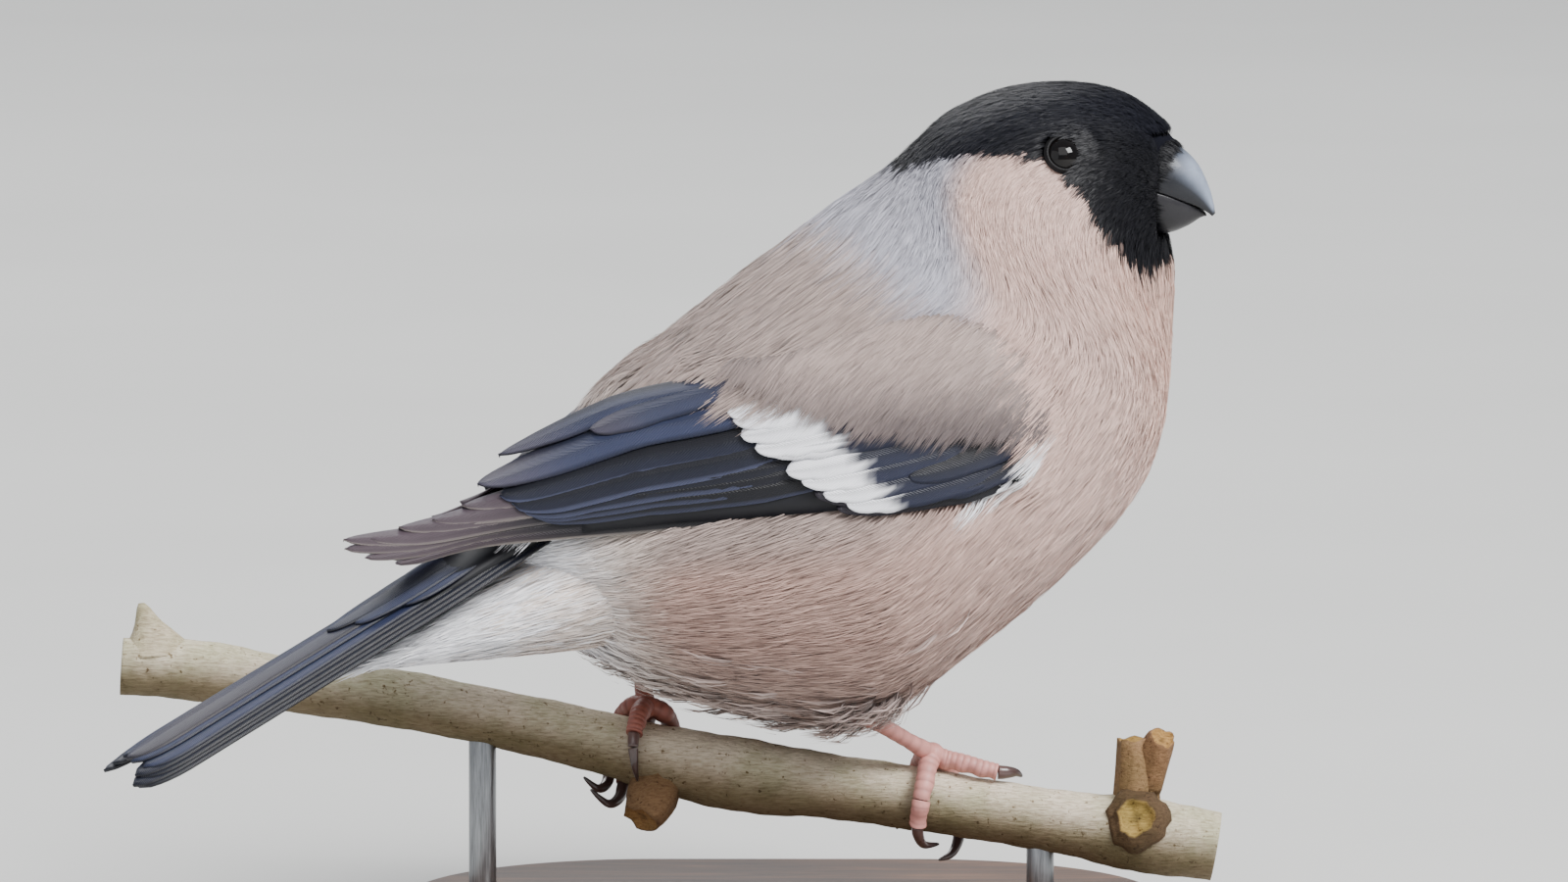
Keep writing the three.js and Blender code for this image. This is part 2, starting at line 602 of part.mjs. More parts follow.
// A half of the bill, round outside and nearly flat along the cutting edge.
function billHalf(table, grow = 0) {
  const steps = 9;
  const rings = Array.from({ length: steps + 1 }, (_, i) => {
    const [outX, outZ, edgeX, edgeZ, half] = rowAt(table, ((table.length - 1) * i) / steps);
    const out = V(outX - edgeX, 0, outZ - edgeZ);
    const high = out.length();
    out.normalize();
    const ahead = V(Math.abs(out.z), 0, -out.x * Math.sign(out.z));
    return Array.from({ length: 12 }, (_, j) => {
      const a = (2 * Math.PI * j) / 12;
      const rise = Math.sin(a);
      const reach = rise > 0 ? high * rise ** 0.9 : 0.12 * high * rise;
      const p = V(edgeX, half * Math.sign(Math.cos(a)) * Math.abs(Math.cos(a)) ** 0.8, edgeZ);
      p.addScaledVector(out, reach + (rise >= 0 ? grow : -grow));
      p.y += grow * Math.cos(a);
      return p.addScaledVector(ahead, i === 0 ? -grow : 0);
    });
  });
  return solid(loft(rings));
}

function upperBill() {
  const pits = [-1, 1].map((s) => ball([NOSTRIL.x, s * NOSTRIL.y, NOSTRIL.z], NOSTRIL.radius, 8));
  return largest(billHalf(UPPER_BILL).subtract(join(pits)));
}

function lowerBill() {
  const flipped = LOWER_BILL.map(([topX, topZ, lowX, lowZ, half]) => [lowX, lowZ, topX, topZ, half]);
  return billHalf(flipped).subtract(billHalf(UPPER_BILL, BILL_ROOM));
}

function billBed() {
  const flipped = LOWER_BILL.map(([topX, topZ, lowX, lowZ, half]) => [lowX, lowZ, topX, topZ, half]);
  return join([billHalf(UPPER_BILL, BILL_ROOM), billHalf(flipped, BILL_ROOM)]);
}

// Branch

function branchAt(x) {
  const [, z, radius] = rowWhere(BRANCH, x);
  return { z, radius };
}

function branch() {
  const steps = 22;
  const rings = Array.from({ length: steps + 1 }, (_, i) => {
    const [x, z, radius] = rowAt(BRANCH, ((BRANCH.length - 1) * i) / steps);
    return Array.from({ length: BRANCH_SIDES }, (_, j) => {
      const a = (2 * Math.PI * j) / BRANCH_SIDES;
      return V(x, radius * Math.cos(a), z + radius * Math.sin(a));
    });
  });
  const top = (x) => branchAt(x).z + branchAt(x).radius;
  const thorn = tube(
    [V(THORN.x, 0, top(THORN.x) - 3), V(THORN.x, 0, top(THORN.x)), V(THORN.x - 0.4, 0, top(THORN.x) + THORN.height)],
    [THORN.width, 2.2, 0.5], 10,
  );
  const { z: lowZ } = branchAt(LOW_STUB.x);
  const [dx, dy, dz] = LOW_STUB.along;
  const lowStub = tube(
    [V(LOW_STUB.x, 0, lowZ), V(LOW_STUB.x + dx * 0.5, dy * 0.6, lowZ + dz * 0.7), V(LOW_STUB.x + dx, dy, lowZ + dz)],
    [LOW_STUB.radius[0], LOW_STUB.radius[0], LOW_STUB.radius[1]], 12,
  );
  const { z: knotZ } = branchAt(KNOT.x);
  const knot = tube(
    [V(KNOT.x, 0, knotZ), V(KNOT.x, -KNOT.reach * 0.75, knotZ), V(KNOT.x - 0.3, -KNOT.reach, knotZ)],
    [KNOT.radius[0], KNOT.radius[0], KNOT.radius[1]], 14,
  );
  const stumpFoot = V(STUMP.x - 0.6, 0, knotZ);
  const stump = tube(
    [stumpFoot, V(STUMP.x - 0.4, -0.6, top(STUMP.x) + 2), V(STUMP.x + STUMP.lean - 1.6, -0.6, top(STUMP.x) + STUMP.height)],
    [STUMP.radius[0], STUMP.radius[0] * 0.85, STUMP.radius[1]], 12,
  );
  const knob = tube(
    [V(STUMP_KNOB.x - 1.2, -0.4, top(STUMP.x) + 1), V(STUMP_KNOB.x, -1.4, top(STUMP.x) + STUMP_KNOB.height),
      V(STUMP_KNOB.x + 0.6, -2.2, top(STUMP.x) + STUMP_KNOB.height + 1.4)],
    [STUMP_KNOB.radius, STUMP_KNOB.radius, STUMP_KNOB.radius * 0.8], 12,
  );
  return largest(join([solid(loft(rings)), thorn, lowStub, knot, stump, knob]));
}

// Legs and feet, in the stand's frame

function overBranch([x, angle, height]) {
  const { z, radius } = branchAt(x);
  const a = rad(angle);
  const out = radius + height + TOE.lift;
  return V(x, -out * Math.sin(a), z + out * Math.cos(a));
}

function toePath(leg, toe) {
  return [V(...leg.foot), ...toe.steps.map(overBranch)];
}

function toeSolid(leg, toe, grow = 0) {
  const path = smoothPath(toePath(leg, toe), 8);
  const radii = path.map((_, i) => mix(TOE.root, TOE.end, i / 8) * (1 + 0.07 * Math.cos(i * 2.1)) + grow);
  return tube(path, radii, 6);
}

// The claw carries on from the toe's end face, a gap away.
function clawSolid(leg, toe) {
  const end = toePath(leg, toe);
  const line = [end[end.length - 2], end[end.length - 1], ...toe.claw.map(overBranch)];
  const curve = new THREE.CatmullRomCurve3(line, false, "centripetal");
  const whole = curve.getPoints(60);
  const last = end[end.length - 1];
  const start = whole.findIndex((p, i) => i > 5 && p.distanceTo(last) < 0.12);
  const after = whole.slice(Math.max(start, 0)).filter((p) => p.distanceTo(last) > GAP * 1.6);
  const path = Array.from({ length: 7 }, (_, i) => after[Math.round(((after.length - 1) * i) / 6)]);
  const radii = path.map((_, i) => TOE.claw * (1 - (i / 6) ** 1.6) + 0.12);
  return tube(path, radii, 6, 1.15);
}

function knuckle(leg, grow = 0) {
  return ball(leg.foot, KNUCKLE + grow, 10);
}

function foot(leg, grow = 0) {
  return largest(join([knuckle(leg, grow), ...leg.toes.map((toe) => toeSolid(leg, toe, grow))]));
}

function shank(leg, grow = 0) {
  const [heel, base] = [V(...leg.heel), V(...leg.foot)];
  const path = SHANK.map(([t]) => heel.clone().lerp(base, t));
  path[0].addScaledVector(heel.clone().sub(base).normalize(), grow);
  return tube(path, SHANK.map(([, radius]) => radius + grow), 10);
}

// Stand

function standBase() {
  const { length, width, height, round } = BASE;
  const r = width / 2 - round;
  const s = length / 2 - round - r;
  const outline = new THREE.Shape();
  outline.absarc(s, 0, r, -Math.PI / 2, Math.PI / 2, false);
  outline.absarc(-s, 0, r, Math.PI / 2, (3 * Math.PI) / 2, false);
  const g = new THREE.ExtrudeGeometry(outline, {
    depth: height - 2 * round,
    bevelSize: round,
    bevelThickness: round,
    bevelSegments: 1,
    curveSegments: 10,
  });
  return solid(g.translate(BASE.x, 0, round));
}

function standRod(x, perch) {
  const g = new THREE.CylinderGeometry(ROD_RADIUS, ROD_RADIUS, branchAt(x).z - BASE.height - GAP, 18);
  g.rotateX(Math.PI / 2);
  const rod = solid(g.translate(x, 0, (branchAt(x).z + BASE.height + GAP) / 2));
  return rod.subtract(perch);
}

// The branch with its skin grown by the gap, for cutting what rests on it.
function branchBed() {
  const rings = BRANCH.map(([x, z, radius]) =>
    Array.from({ length: BRANCH_SIDES }, (_, j) => {
      const a = (2 * Math.PI * j) / BRANCH_SIDES;
      const r = (radius + GAP) / Math.cos(Math.PI / BRANCH_SIDES);
      return V(x, r * Math.cos(a), z + r * Math.sin(a));
    }),
  );
  return solid(loft(rings));
}

// Assembly

function mesh(name, made, [color, roughness, metalness]) {
  const geometry = surface(made);
  geometry.computeVertexNormals();
  const node = new THREE.Mesh(geometry, new THREE.MeshStandardMaterial({ color, roughness, metalness }));
  node.name = name;
  return node;
}

// A solid of the stand's frame, brought into the bird's frame.
function intoBird(made) {
  return moved(made, turn(0, 0, -BIRD_YAW).multiply(shift(...BIRD_PLACE.map((v) => -v))));
}

function birdMeshes() {
  const wingRight = wing();
  const leftSide = (made) => moved(mirror(made), shift(...LEFT_WING_SHIFT));
  const eyes = [-1, 1].map((side) => ({ side, centre: eyePlace(side).middle }));
  const legBeds = Object.values(LEGS).map((leg) => intoBird(shank(leg, GAP)));
  const trunk = bodyStretch(0, NECK_START, 18).add(ventWedge());
  const torso = trunk.subtract(join([wingBed(), leftSide(wingBed()), tailBed(), ...legBeds]));
  const skull = bodyStretch(NECK_END, RIBS.length - 1, 12).add(join([lids(-1), lids(1)]));
  const head = skull.subtract(join([billBed(), ...eyes.map((e) => ball(e.centre, EYE.radius + GAP, 14))]));
  return [
    mesh("torso", turnHead(largest(torso)), FINISH.plumage),
    mesh("neck", turnHead(bodyStretch(NECK_START, NECK_END, 5)), FINISH.grey),
    mesh("head", turnHead(largest(head)), FINISH.cap),
    mesh("bill_upper", turnHead(upperBill()), FINISH.bill),
    mesh("bill_lower", turnHead(largest(lowerBill())), FINISH.bill),
    ...eyes.map((e) =>
      mesh(e.side < 0 ? "eye_right" : "eye_left", turnHead(ball(e.centre, EYE.radius, 14)), FINISH.eye),
    ),
    mesh("wing_right", wingRight, FINISH.flight),
    mesh("wing_left", leftSide(wingRight), FINISH.flight),
    mesh("tail", tail(), FINISH.tail),
  ];
}

function legMeshes(side) {
  const leg = LEGS[side];
  const parts = [
    mesh(`leg_${side}`, largest(shank(leg).subtract(foot(leg, GAP))), FINISH.leg),
    mesh(`foot_${side}`, foot(leg), FINISH.leg),
  ];
  leg.toes.forEach((toe) => parts.push(mesh(`claw_${side}_${toe.name}`, clawSolid(leg, toe), FINISH.claw)));
  return parts;
}

const bird = new THREE.Group();
bird.add(...birdMeshes());
bird.rotation.z = rad(BIRD_YAW);
bird.position.set(...BIRD_PLACE);

const stand = new THREE.Group();
const perch = branch();
stand.add(
  mesh("perch", perch, FINISH.bark),
  mesh("stand_base", standBase(), FINISH.base),
  ...RODS.map((x, i) => mesh(`stand_rod_${i + 1}`, standRod(x, branchBed()), FINISH.rod)),
);

const model = new THREE.Group();
model.add(bird, stand, ...legMeshes("right"), ...legMeshes("left"));

export default model;
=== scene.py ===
"""Dresses a life-size still model of a hen bullfinch: skin, coat, wings, tail, face, feet, perch and stand.

The bird is laid out in millimetres in a frame of its own, facing +X with its middle plane at y = 0. The
head is then turned, and the bird is turned and set on the perch in the stand's frame, in metres.
"""

from __future__ import annotations

import logging
import math
from dataclasses import dataclass, field
from enum import Enum
from typing import Callable

import bpy
import numpy as np
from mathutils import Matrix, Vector

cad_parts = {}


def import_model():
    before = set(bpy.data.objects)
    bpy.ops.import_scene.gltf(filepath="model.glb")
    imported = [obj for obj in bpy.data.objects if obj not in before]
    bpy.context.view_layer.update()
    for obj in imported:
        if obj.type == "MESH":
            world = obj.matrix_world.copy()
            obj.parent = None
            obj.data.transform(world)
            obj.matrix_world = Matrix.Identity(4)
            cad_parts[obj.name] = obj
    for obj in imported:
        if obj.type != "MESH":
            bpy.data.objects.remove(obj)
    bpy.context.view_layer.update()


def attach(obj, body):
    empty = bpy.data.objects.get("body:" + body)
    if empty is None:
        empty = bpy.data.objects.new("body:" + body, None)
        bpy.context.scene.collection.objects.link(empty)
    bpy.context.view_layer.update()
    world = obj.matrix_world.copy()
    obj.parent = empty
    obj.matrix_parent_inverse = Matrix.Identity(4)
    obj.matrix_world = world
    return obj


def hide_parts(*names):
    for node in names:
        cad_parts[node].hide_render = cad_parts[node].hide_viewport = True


log = logging.getLogger("bullfinch")

MM = 0.001
ROOT = "root"
TINT = "Tint"  # the colour attribute of each point, which the finishes read
CAP_BLACK = "0b0b10"
WHITE = "eeeef2"
TURN = 2 * math.pi

Array = np.ndarray
Piece = bpy.types.Object
Material = bpy.types.Material
Socket = bpy.types.NodeSocket


class Side(Enum):
    """The side of the bird, as the sign of its y."""

    RIGHT = -1
    LEFT = 1


# Numbers


def rgb(code: str) -> Array:
    """A linear colour from six hex digits."""
    c = np.array([int(code[i : i + 2], 16) / 255 for i in (0, 2, 4)])
    return np.where(c <= 0.04045, c / 12.92, ((c + 0.055) / 1.055) ** 2.4)


def unit(v: Array) -> Array:
    """Vectors of length 1 along v."""
    return v / np.maximum(np.linalg.norm(v, axis=-1, keepdims=True), 1e-9)


def soft(x: Array, low: float, high: float) -> Array:
    """A smooth step from 0 at low to 1 at high."""
    t = np.clip((x - low) / (high - low), 0, 1)
    return t * t * (3 - 2 * t)


def blend(a: Array, b: Array, share: Array) -> Array:
    """Colours a and b mixed by a share of b for each."""
    return a + (b - a) * np.asarray(share)[..., None]


def even(code: str, count: int) -> Array:
    """One linear colour, count times."""
    return np.repeat(rgb(code)[None], count, 0)


def signed_turn(v: Array) -> Array:
    """Angles brought between -pi and pi."""
    return (v + math.pi) % TURN - math.pi


def round_line(count: int) -> Array:
    """Angles of points evenly round a ring."""
    return np.linspace(0, TURN, count, endpoint=False)


@dataclass(frozen=True)
class Rows:
    """A table of sizes with a smooth curve through its rows."""

    table: tuple[tuple[float, ...], ...]

    def at(self, place: Array) -> Array:
        """Values at places counted in rows.

        Args:
            place: Places, from 0 to the last row.

        Returns:
            One row of values for each place.
        """
        rows = np.array(self.table, float)
        last = len(rows) - 1
        p = np.clip(place, 0, last)
        i = np.minimum(np.floor(p).astype(int), last - 1)
        t = (p - i)[..., None]
        a, b, c, d = (rows[np.clip(i + k, 0, last)] for k in (-1, 0, 1, 2))
        square, cube = 2 * a - 5 * b + 4 * c - d, 3 * b - a - 3 * c + d
        return 0.5 * (2 * b + (c - a) * t + square * t**2 + cube * t**3)

    def where(self, value: Array) -> Array:
        """Rows where the first column, which runs one way, has given values.

        Args:
            value: Values of the first column.

        Returns:
            One row of values for each.
        """
        column = np.array(self.table, float)[:, 0]
        sign = 1 if column[-1] > column[0] else -1
        return self.at(np.interp(sign * np.asarray(value, float), sign * column, np.arange(len(column))))

    def line(self, value: Array) -> Array:
        """The second column by the first, in straight lines."""
        rows = np.array(self.table, float)
        return np.interp(value, rows[:, 0], rows[:, 1])


# Meshes


def tint_points(mesh: bpy.types.Mesh, colours: Array) -> None:
    """Gives every point of a mesh a colour.

    Args:
        mesh: The mesh.
        colours: One linear colour, or one for each point.
    """
    count = len(mesh.vertices)
    layer = mesh.color_attributes.new(name=TINT, type="FLOAT_COLOR", domain="POINT")
    rows = np.hstack([np.broadcast_to(colours, (count, 3)), np.ones((count, 1))])
    layer.data.foreach_set("color", rows.astype(np.float32).ravel())


class MeshStore:
    """Gathers points, faces, colours and map places of many small forms and makes one mesh of them."""

    def __init__(self) -> None:
        """Starts empty."""
        self.points: list[Array] = []
        self.faces: dict[int, list[Array]] = {3: [], 4: []}
        self.colours: list[Array] = []
        self.places: list[Array] = []
        self.count = 0

    def add(self, points: Array, faces: list[Array], colours: Array, places: Array) -> None:
        """Adds one form, or a batch of like forms.

        Args:
            points: Points in metres, one row each.
            faces: Sets of rows of three or four point numbers, counted from this form's first point.
            colours: One colour for each point.
            places: One map place for each point.
        """
        for rows in faces:
            self.faces[rows.shape[-1]].append(rows + self.count)
        self.points.append(points.reshape(-1, 3))
        self.colours.append(colours.reshape(-1, 3))
        self.places.append(places.reshape(-1, 2))
        self.count += self.points[-1].shape[0]

    def make(self, name: str, map_name: str) -> Piece:
        """Makes the mesh and its object.

        Args:
            name: The piece's name.
            map_name: The name of its UV map.

        Returns:
            The new object.
        """
        points = np.concatenate(self.points)
        places = np.concatenate(self.places)
        sets = [np.concatenate(self.faces[k]) for k in (3, 4) if self.faces[k]]
        corners = np.concatenate([s.ravel() for s in sets])
        sizes = np.concatenate([np.full(len(s), s.shape[1]) for s in sets])
        mesh = bpy.data.meshes.new(name)
        mesh.vertices.add(len(points))
        mesh.vertices.foreach_set("co", points.astype(np.float32).ravel())
        mesh.loops.add(len(corners))
        mesh.loops.foreach_set("vertex_index", corners.astype(np.int32))
        mesh.polygons.add(len(sizes))
        starts = np.concatenate([[0], np.cumsum(sizes)[:-1]])
        mesh.polygons.foreach_set("loop_start", starts.astype(np.int32))
        mesh.update(calc_edges=True)
        mesh.polygons.foreach_set("use_smooth", np.ones(len(sizes), bool))
        layer = mesh.uv_layers.new(name=map_name)
        layer.data.foreach_set("uv", places[corners].astype(np.float32).ravel())
        tint_points(mesh, np.concatenate(self.colours))
        piece = bpy.data.objects.new(name, mesh)
        bpy.context.scene.collection.objects.link(piece)
        return piece


def deselect() -> None:
    """Leaves nothing selected."""
    bpy.ops.object.select_all(action="DESELECT")


def wrap(name: str, rings: Array, colours: Array) -> Piece:
    """Wraps a grid round a row of rings and closes its seam and its ends.

    Args:
        name: The piece's name.
        rings: Points in metres, as rings by points by three.
        colours: One colour for each of these points.

    Returns:
        The new object.
    """
    count, sides = rings.shape[:2]
    deselect()
    bpy.ops.mesh.primitive_grid_add(x_subdivisions=sides, y_subdivisions=count - 1, size=2)
    piece = bpy.context.object
    piece.name = piece.data.name = name
    flat = np.zeros(len(piece.data.vertices) * 3)
    piece.data.vertices.foreach_get("co", flat)
    flat = flat.reshape(-1, 3)
    column = np.rint((flat[:, 0] + 1) / 2 * sides).astype(int) % sides
    row = np.rint((flat[:, 1] + 1) / 2 * (count - 1)).astype(int)
    piece.data.vertices.foreach_set("co", rings[row, column].astype(np.float32).ravel())
    tint_points(piece.data, colours[row, column])
    bpy.ops.object.mode_set(mode="EDIT")
    bpy.ops.mesh.select_all(action="SELECT")
    bpy.ops.mesh.remove_doubles(threshold=0.002 * MM)
    bpy.ops.mesh.fill_holes(sides=0)
    bpy.ops.mesh.select_all(action="SELECT")
    bpy.ops.mesh.normals_make_consistent(inside=False)
    bpy.ops.object.mode_set(mode="OBJECT")
    bpy.ops.object.shade_smooth()
    return piece


def settle(piece: Piece) -> None:
    """Puts a piece's place, turn and size into its mesh.

    Args:
        piece: The piece.
    """
    deselect()
    piece.select_set(True)
    bpy.context.view_layer.objects.active = piece
    bpy.ops.object.transform_apply(location=True, rotation=True, scale=True)


def join_pieces(name: str, pieces: list[Piece]) -> Piece:
    """Joins pieces to one.

    Args:
        name: Its name.
        pieces: The pieces, of which there are several.

    Returns:
        The one piece.
    """
    deselect()
    for piece in pieces:
        piece.select_set(True)
    bpy.context.view_layer.objects.active = pieces[0]
    bpy.ops.object.join()
    pieces[0].name = pieces[0].data.name = name
    return pieces[0]


def round_edges(piece: Piece, name: str, width: float, segments: int) -> None:
    """Names a turned piece, rounds its sharp edges and smooths its faces.

    Args:
        piece: The piece.
        name: Its name.
        width: Width of the rounding, in millimetres.
        segments: Steps over it.
    """
    piece.name = piece.data.name = name
    bevel = piece.modifiers.new("Edge", "BEVEL")
    bevel.width, bevel.segments, bevel.limit_method = width * MM, segments, "ANGLE"
    bpy.context.view_layer.objects.active = piece
    bpy.ops.object.modifier_apply(modifier=bevel.name)
    bpy.ops.object.shade_smooth_by_angle(angle=math.radians(35))


def dress(piece: Piece, finish: Material, slot: str, *nodes: str) -> Piece:
    """Gives a piece its finish and the nodes it stands for, and reports it.

    Args:
        piece: The piece.
        finish: Its material.
        slot: The record's material slot; not used.
        nodes: The solids that it replaces.

    Returns:
        The same piece.
    """
    piece.data.materials.clear()
    piece.data.materials.append(finish)
    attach(piece, ROOT)
    if nodes:
        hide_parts(*nodes)
    faces = sum(len(p.vertices) - 2 for p in piece.data.polygons)
    log.info("%s: %d triangles", piece.name, faces)
    return piece


def tube_rings(path: Array, radii: Array, sides: int, tall: float = 1.0) -> Array:
    """Rings of a tube along a path.

    Args:
        path: Points of the middle line.
        radii: A radius for each, or a radius for each point of each ring.
        sides: Points in a ring.
        tall: How far the section is stretched upwards.

    Returns:
        Rings by points by three.
    """
    along = unit(np.gradient(path, axis=0))
    side = np.cross([0.0, 0.0, 1.0], along)
    flat = np.linalg.norm(side, axis=1) < 0.2
    side[flat] = np.cross([0.0, 1.0, 0.0], along[flat])
    side = unit(side)
    up = np.cross(along, side)
    turn = round_line(sides)
    radii = np.asarray(radii, float)
    radii = radii[:, None] if radii.ndim == 1 else radii
    across = (radii * np.cos(turn))[..., None] * side[:, None]
    return path[:, None] + across + (radii * tall * np.sin(turn))[..., None] * up[:, None]


def smooth_path(points: list, steps: int) -> Array:
    """A smooth line through a few points."""
    rows = Rows(tuple(tuple(p) for p in points))
    return rows.at(np.linspace(0, len(points) - 1, steps + 1))


# Finishes


class Nodes:
    """A small hand for wiring the nodes of one tree."""

    def __init__(self, tree: bpy.types.NodeTree) -> None:
        """Works on the given tree."""
        self.tree = tree
        self.column = 0

    def add(self, kind: str, inputs: dict | None = None, **settings: object) -> bpy.types.Node:
        """Adds a node.

        Args:
            kind: The node's type name.
            inputs: Values or sockets for its inputs, by name or number.
            settings: Its own properties.

        Returns:
            The node.
        """
        node = self.tree.nodes.new(kind)
        node.location = (self.column * 180, 0)
        self.column += 1
        for key, value in settings.items():
            setattr(node, key, value)
        self.feed(node, inputs or {})
        return node

    def feed(self, node: bpy.types.Node, inputs: dict) -> None:
        """Gives a node's inputs their values or their links.

        Args:
            node: The node.
            inputs: Values or sockets, by the inputs' names or numbers.
        """
        for key, value in inputs.items():
            if isinstance(value, Socket):
                self.tree.links.new(value, node.inputs[key])
            else:
                node.inputs[key].default_value = value

    def math(self, operation: str, a: object, b: object = 0.0) -> Socket:
        """One step of arithmetic on two values or sockets."""
        return self.add("ShaderNodeMath", {0: a, 1: b}, operation=operation).outputs[0]

    def mix(self, share: object, a: object, b: object, blend_type: str = "MIX") -> Socket:
        """A mix of two colours."""
        node = self.add("ShaderNodeMix", {0: share, 6: a, 7: b}, data_type="RGBA", blend_type=blend_type)
        return node.outputs[2]

    def ramp(self, value: Socket, stops: list[tuple[float, tuple]]) -> Socket:
        """A colour ramp.

        Args:
            value: What it reads.
            stops: Place and colour of each stop.

        Returns:
            The colour.
        """
        node = self.add("ShaderNodeValToRGB", {0: value})
        band = node.color_ramp
        while len(band.elements) < len(stops):
            band.elements.new(0.5)
        for element, (place, colour) in zip(band.elements, stops):
            element.position, element.color = place, colour
        return node.outputs[0]

    def noise(self, where: object, scale: float, detail: float = 4.0, rough: float = 0.6) -> Socket:
        """A noise value read at a place."""
        inputs = {"Vector": where, "Scale": scale, "Detail": detail, "Roughness": rough}
        return self.add("ShaderNodeTexNoise", inputs).outputs[0]

    def bump(self, height: Socket, strength: float, distance: float, under: Socket | None = None) -> Socket:
        """A normal that follows a height.

        Args:
            height: The height.
            strength: How strongly it shows.
            distance: How far it reaches, in millimetres.
            under: Another such normal that it adds to.

        Returns:
            The normal.
        """
        inputs = {"Strength": strength, "Distance": distance * MM, "Height": height}
        if under is not None:
            inputs["Normal"] = under
        return self.add("ShaderNodeBump", inputs).outputs[0]

    def place(self) -> Socket:
        """The place on the object."""
        return self.add("ShaderNodeTexCoord").outputs["Object"]

    def tint(self) -> Socket:
        """The piece's own colours."""
        return self.add("ShaderNodeAttribute", attribute_name=TINT).outputs["Color"]

    def stretched(self, where: Socket, scale: tuple[float, float, float]) -> Socket:
        """A place scaled along each axis, so that a pattern read there is drawn out."""
        return self.add("ShaderNodeMapping", {0: where, "Scale": scale}).outputs[0]


def rgba(code: str) -> tuple[float, float, float, float]:
    """A linear colour with full alpha from six hex digits."""
    return (*rgb(code).tolist(), 1.0)


def new_group(
    name: str, ins: list[tuple[str, str, float]], outs: list[tuple[str, str]]
) -> tuple[Nodes, bpy.types.Node, bpy.types.Node]:
    """Starts a shader node group.

    Args:
        name: Its name.
        ins: Name, kind and first value of each input.
        outs: Name and kind of each output.

    Returns:
        A hand for its nodes, its input node and its output node.
    """
    tree = bpy.data.node_groups.new(name, "ShaderNodeTree")
    for label, kind, value in ins:
        socket = tree.interface.new_socket(label, in_out="INPUT", socket_type=kind)
        if kind == "NodeSocketFloat":
            socket.default_value = value
    for label, kind in outs:
        tree.interface.new_socket(label, in_out="OUTPUT", socket_type=kind)
    hand = Nodes(tree)
    return hand, hand.add("NodeGroupInput"), hand.add("NodeGroupOutput")


@dataclass
class Effects:
    """Shader effects that more than one finish uses."""

    mottle: bpy.types.NodeTree = field(init=False)
    barbs: bpy.types.NodeTree = field(init=False)

    def build(self) -> None:
        """Builds both groups."""
        self.mottle = self.build_mottle()
        self.barbs = self.build_barbs()

    def build_mottle(self) -> bpy.types.NodeTree:
        """Soft patches of lighter and darker colour.

        Returns:
            The group, with inputs Colour, Place, Scale and Amount and outputs Colour and Value.
        """
        hand, given, out = new_group(
            "Mottle",
            [("Colour", "NodeSocketColor", 0), ("Place", "NodeSocketVector", 0),
             ("Scale", "NodeSocketFloat", 300.0), ("Amount", "NodeSocketFloat", 0.2)],
            [("Colour", "NodeSocketColor"), ("Value", "NodeSocketFloat")],
        )
        noise = hand.add(
            "ShaderNodeTexNoise", {"Vector": given.outputs[1], "Scale": given.outputs[2], "Detail": 5.0}
        ).outputs[0]
        off = hand.math("SUBTRACT", noise, 0.5)
        gain = hand.math("ADD", hand.math("MULTIPLY", off, hand.math("MULTIPLY", given.outputs[3], 2.0)), 1.0)
        shade = hand.add("ShaderNodeVectorMath", {0: given.outputs[0], "Scale": gain}, operation="SCALE")
        hand.tree.links.new(shade.outputs[0], out.inputs[0])
        hand.tree.links.new(noise, out.inputs[1])
        return hand.tree

    def build_barbs(self) -> bpy.types.NodeTree:
        """Slanting barbs on both sides of a feather's shaft, from its map in millimetres.

        Returns:
            The group, with inputs Pitch and Slant and outputs Height and Line.
        """
        hand, given, out = new_group(
            "Barbs",
            [("Pitch", "NodeSocketFloat", 0.5), ("Slant", "NodeSocketFloat", 1.5)],
            [("Height", "NodeSocketFloat"), ("Line", "NodeSocketFloat")],
        )
        where = hand.add("ShaderNodeUVMap", uv_map="Vane").outputs[0]
        parts = hand.add("ShaderNodeSeparateXYZ", {0: where})
        across = hand.math("ABSOLUTE", parts.outputs[1])
        slanted = hand.math("SUBTRACT", parts.outputs[0], hand.math("MULTIPLY", across, given.outputs[1]))
        drift = hand.math("MULTIPLY", hand.noise(where, 0.9, 2.0), 0.5)
        turns = hand.math("DIVIDE", hand.math("ADD", slanted, drift), given.outputs[0])
        wave = hand.math("SINE", hand.math("MULTIPLY", turns, TURN))
        height = hand.math("ADD", hand.math("MULTIPLY", wave, 0.5), 0.5)
        line = hand.math("POWER", height, 3.0)
        hand.tree.links.new(height, out.inputs[0])
        hand.tree.links.new(line, out.inputs[1])
        return hand.tree


@dataclass(frozen=True)
class Finish:
    """What every finish has: a name, and a material with one shader."""

    name: str

    def make(self) -> Material:
        """Makes the material.

        Returns:
            The material.
        """
        material = bpy.data.materials.new(self.name)
        material.use_nodes = True
        hand = Nodes(material.node_tree)
        hand.feed(material.node_tree.nodes["Principled BSDF"], self.inputs(hand))
        return material

    def inputs(self, hand: Nodes) -> dict:
        """Wires the nodes behind the shader.

        Args:
            hand: A hand for the material's nodes.

        Returns:
            Values and sockets of the shader's inputs, by name.
        """
        raise NotImplementedError


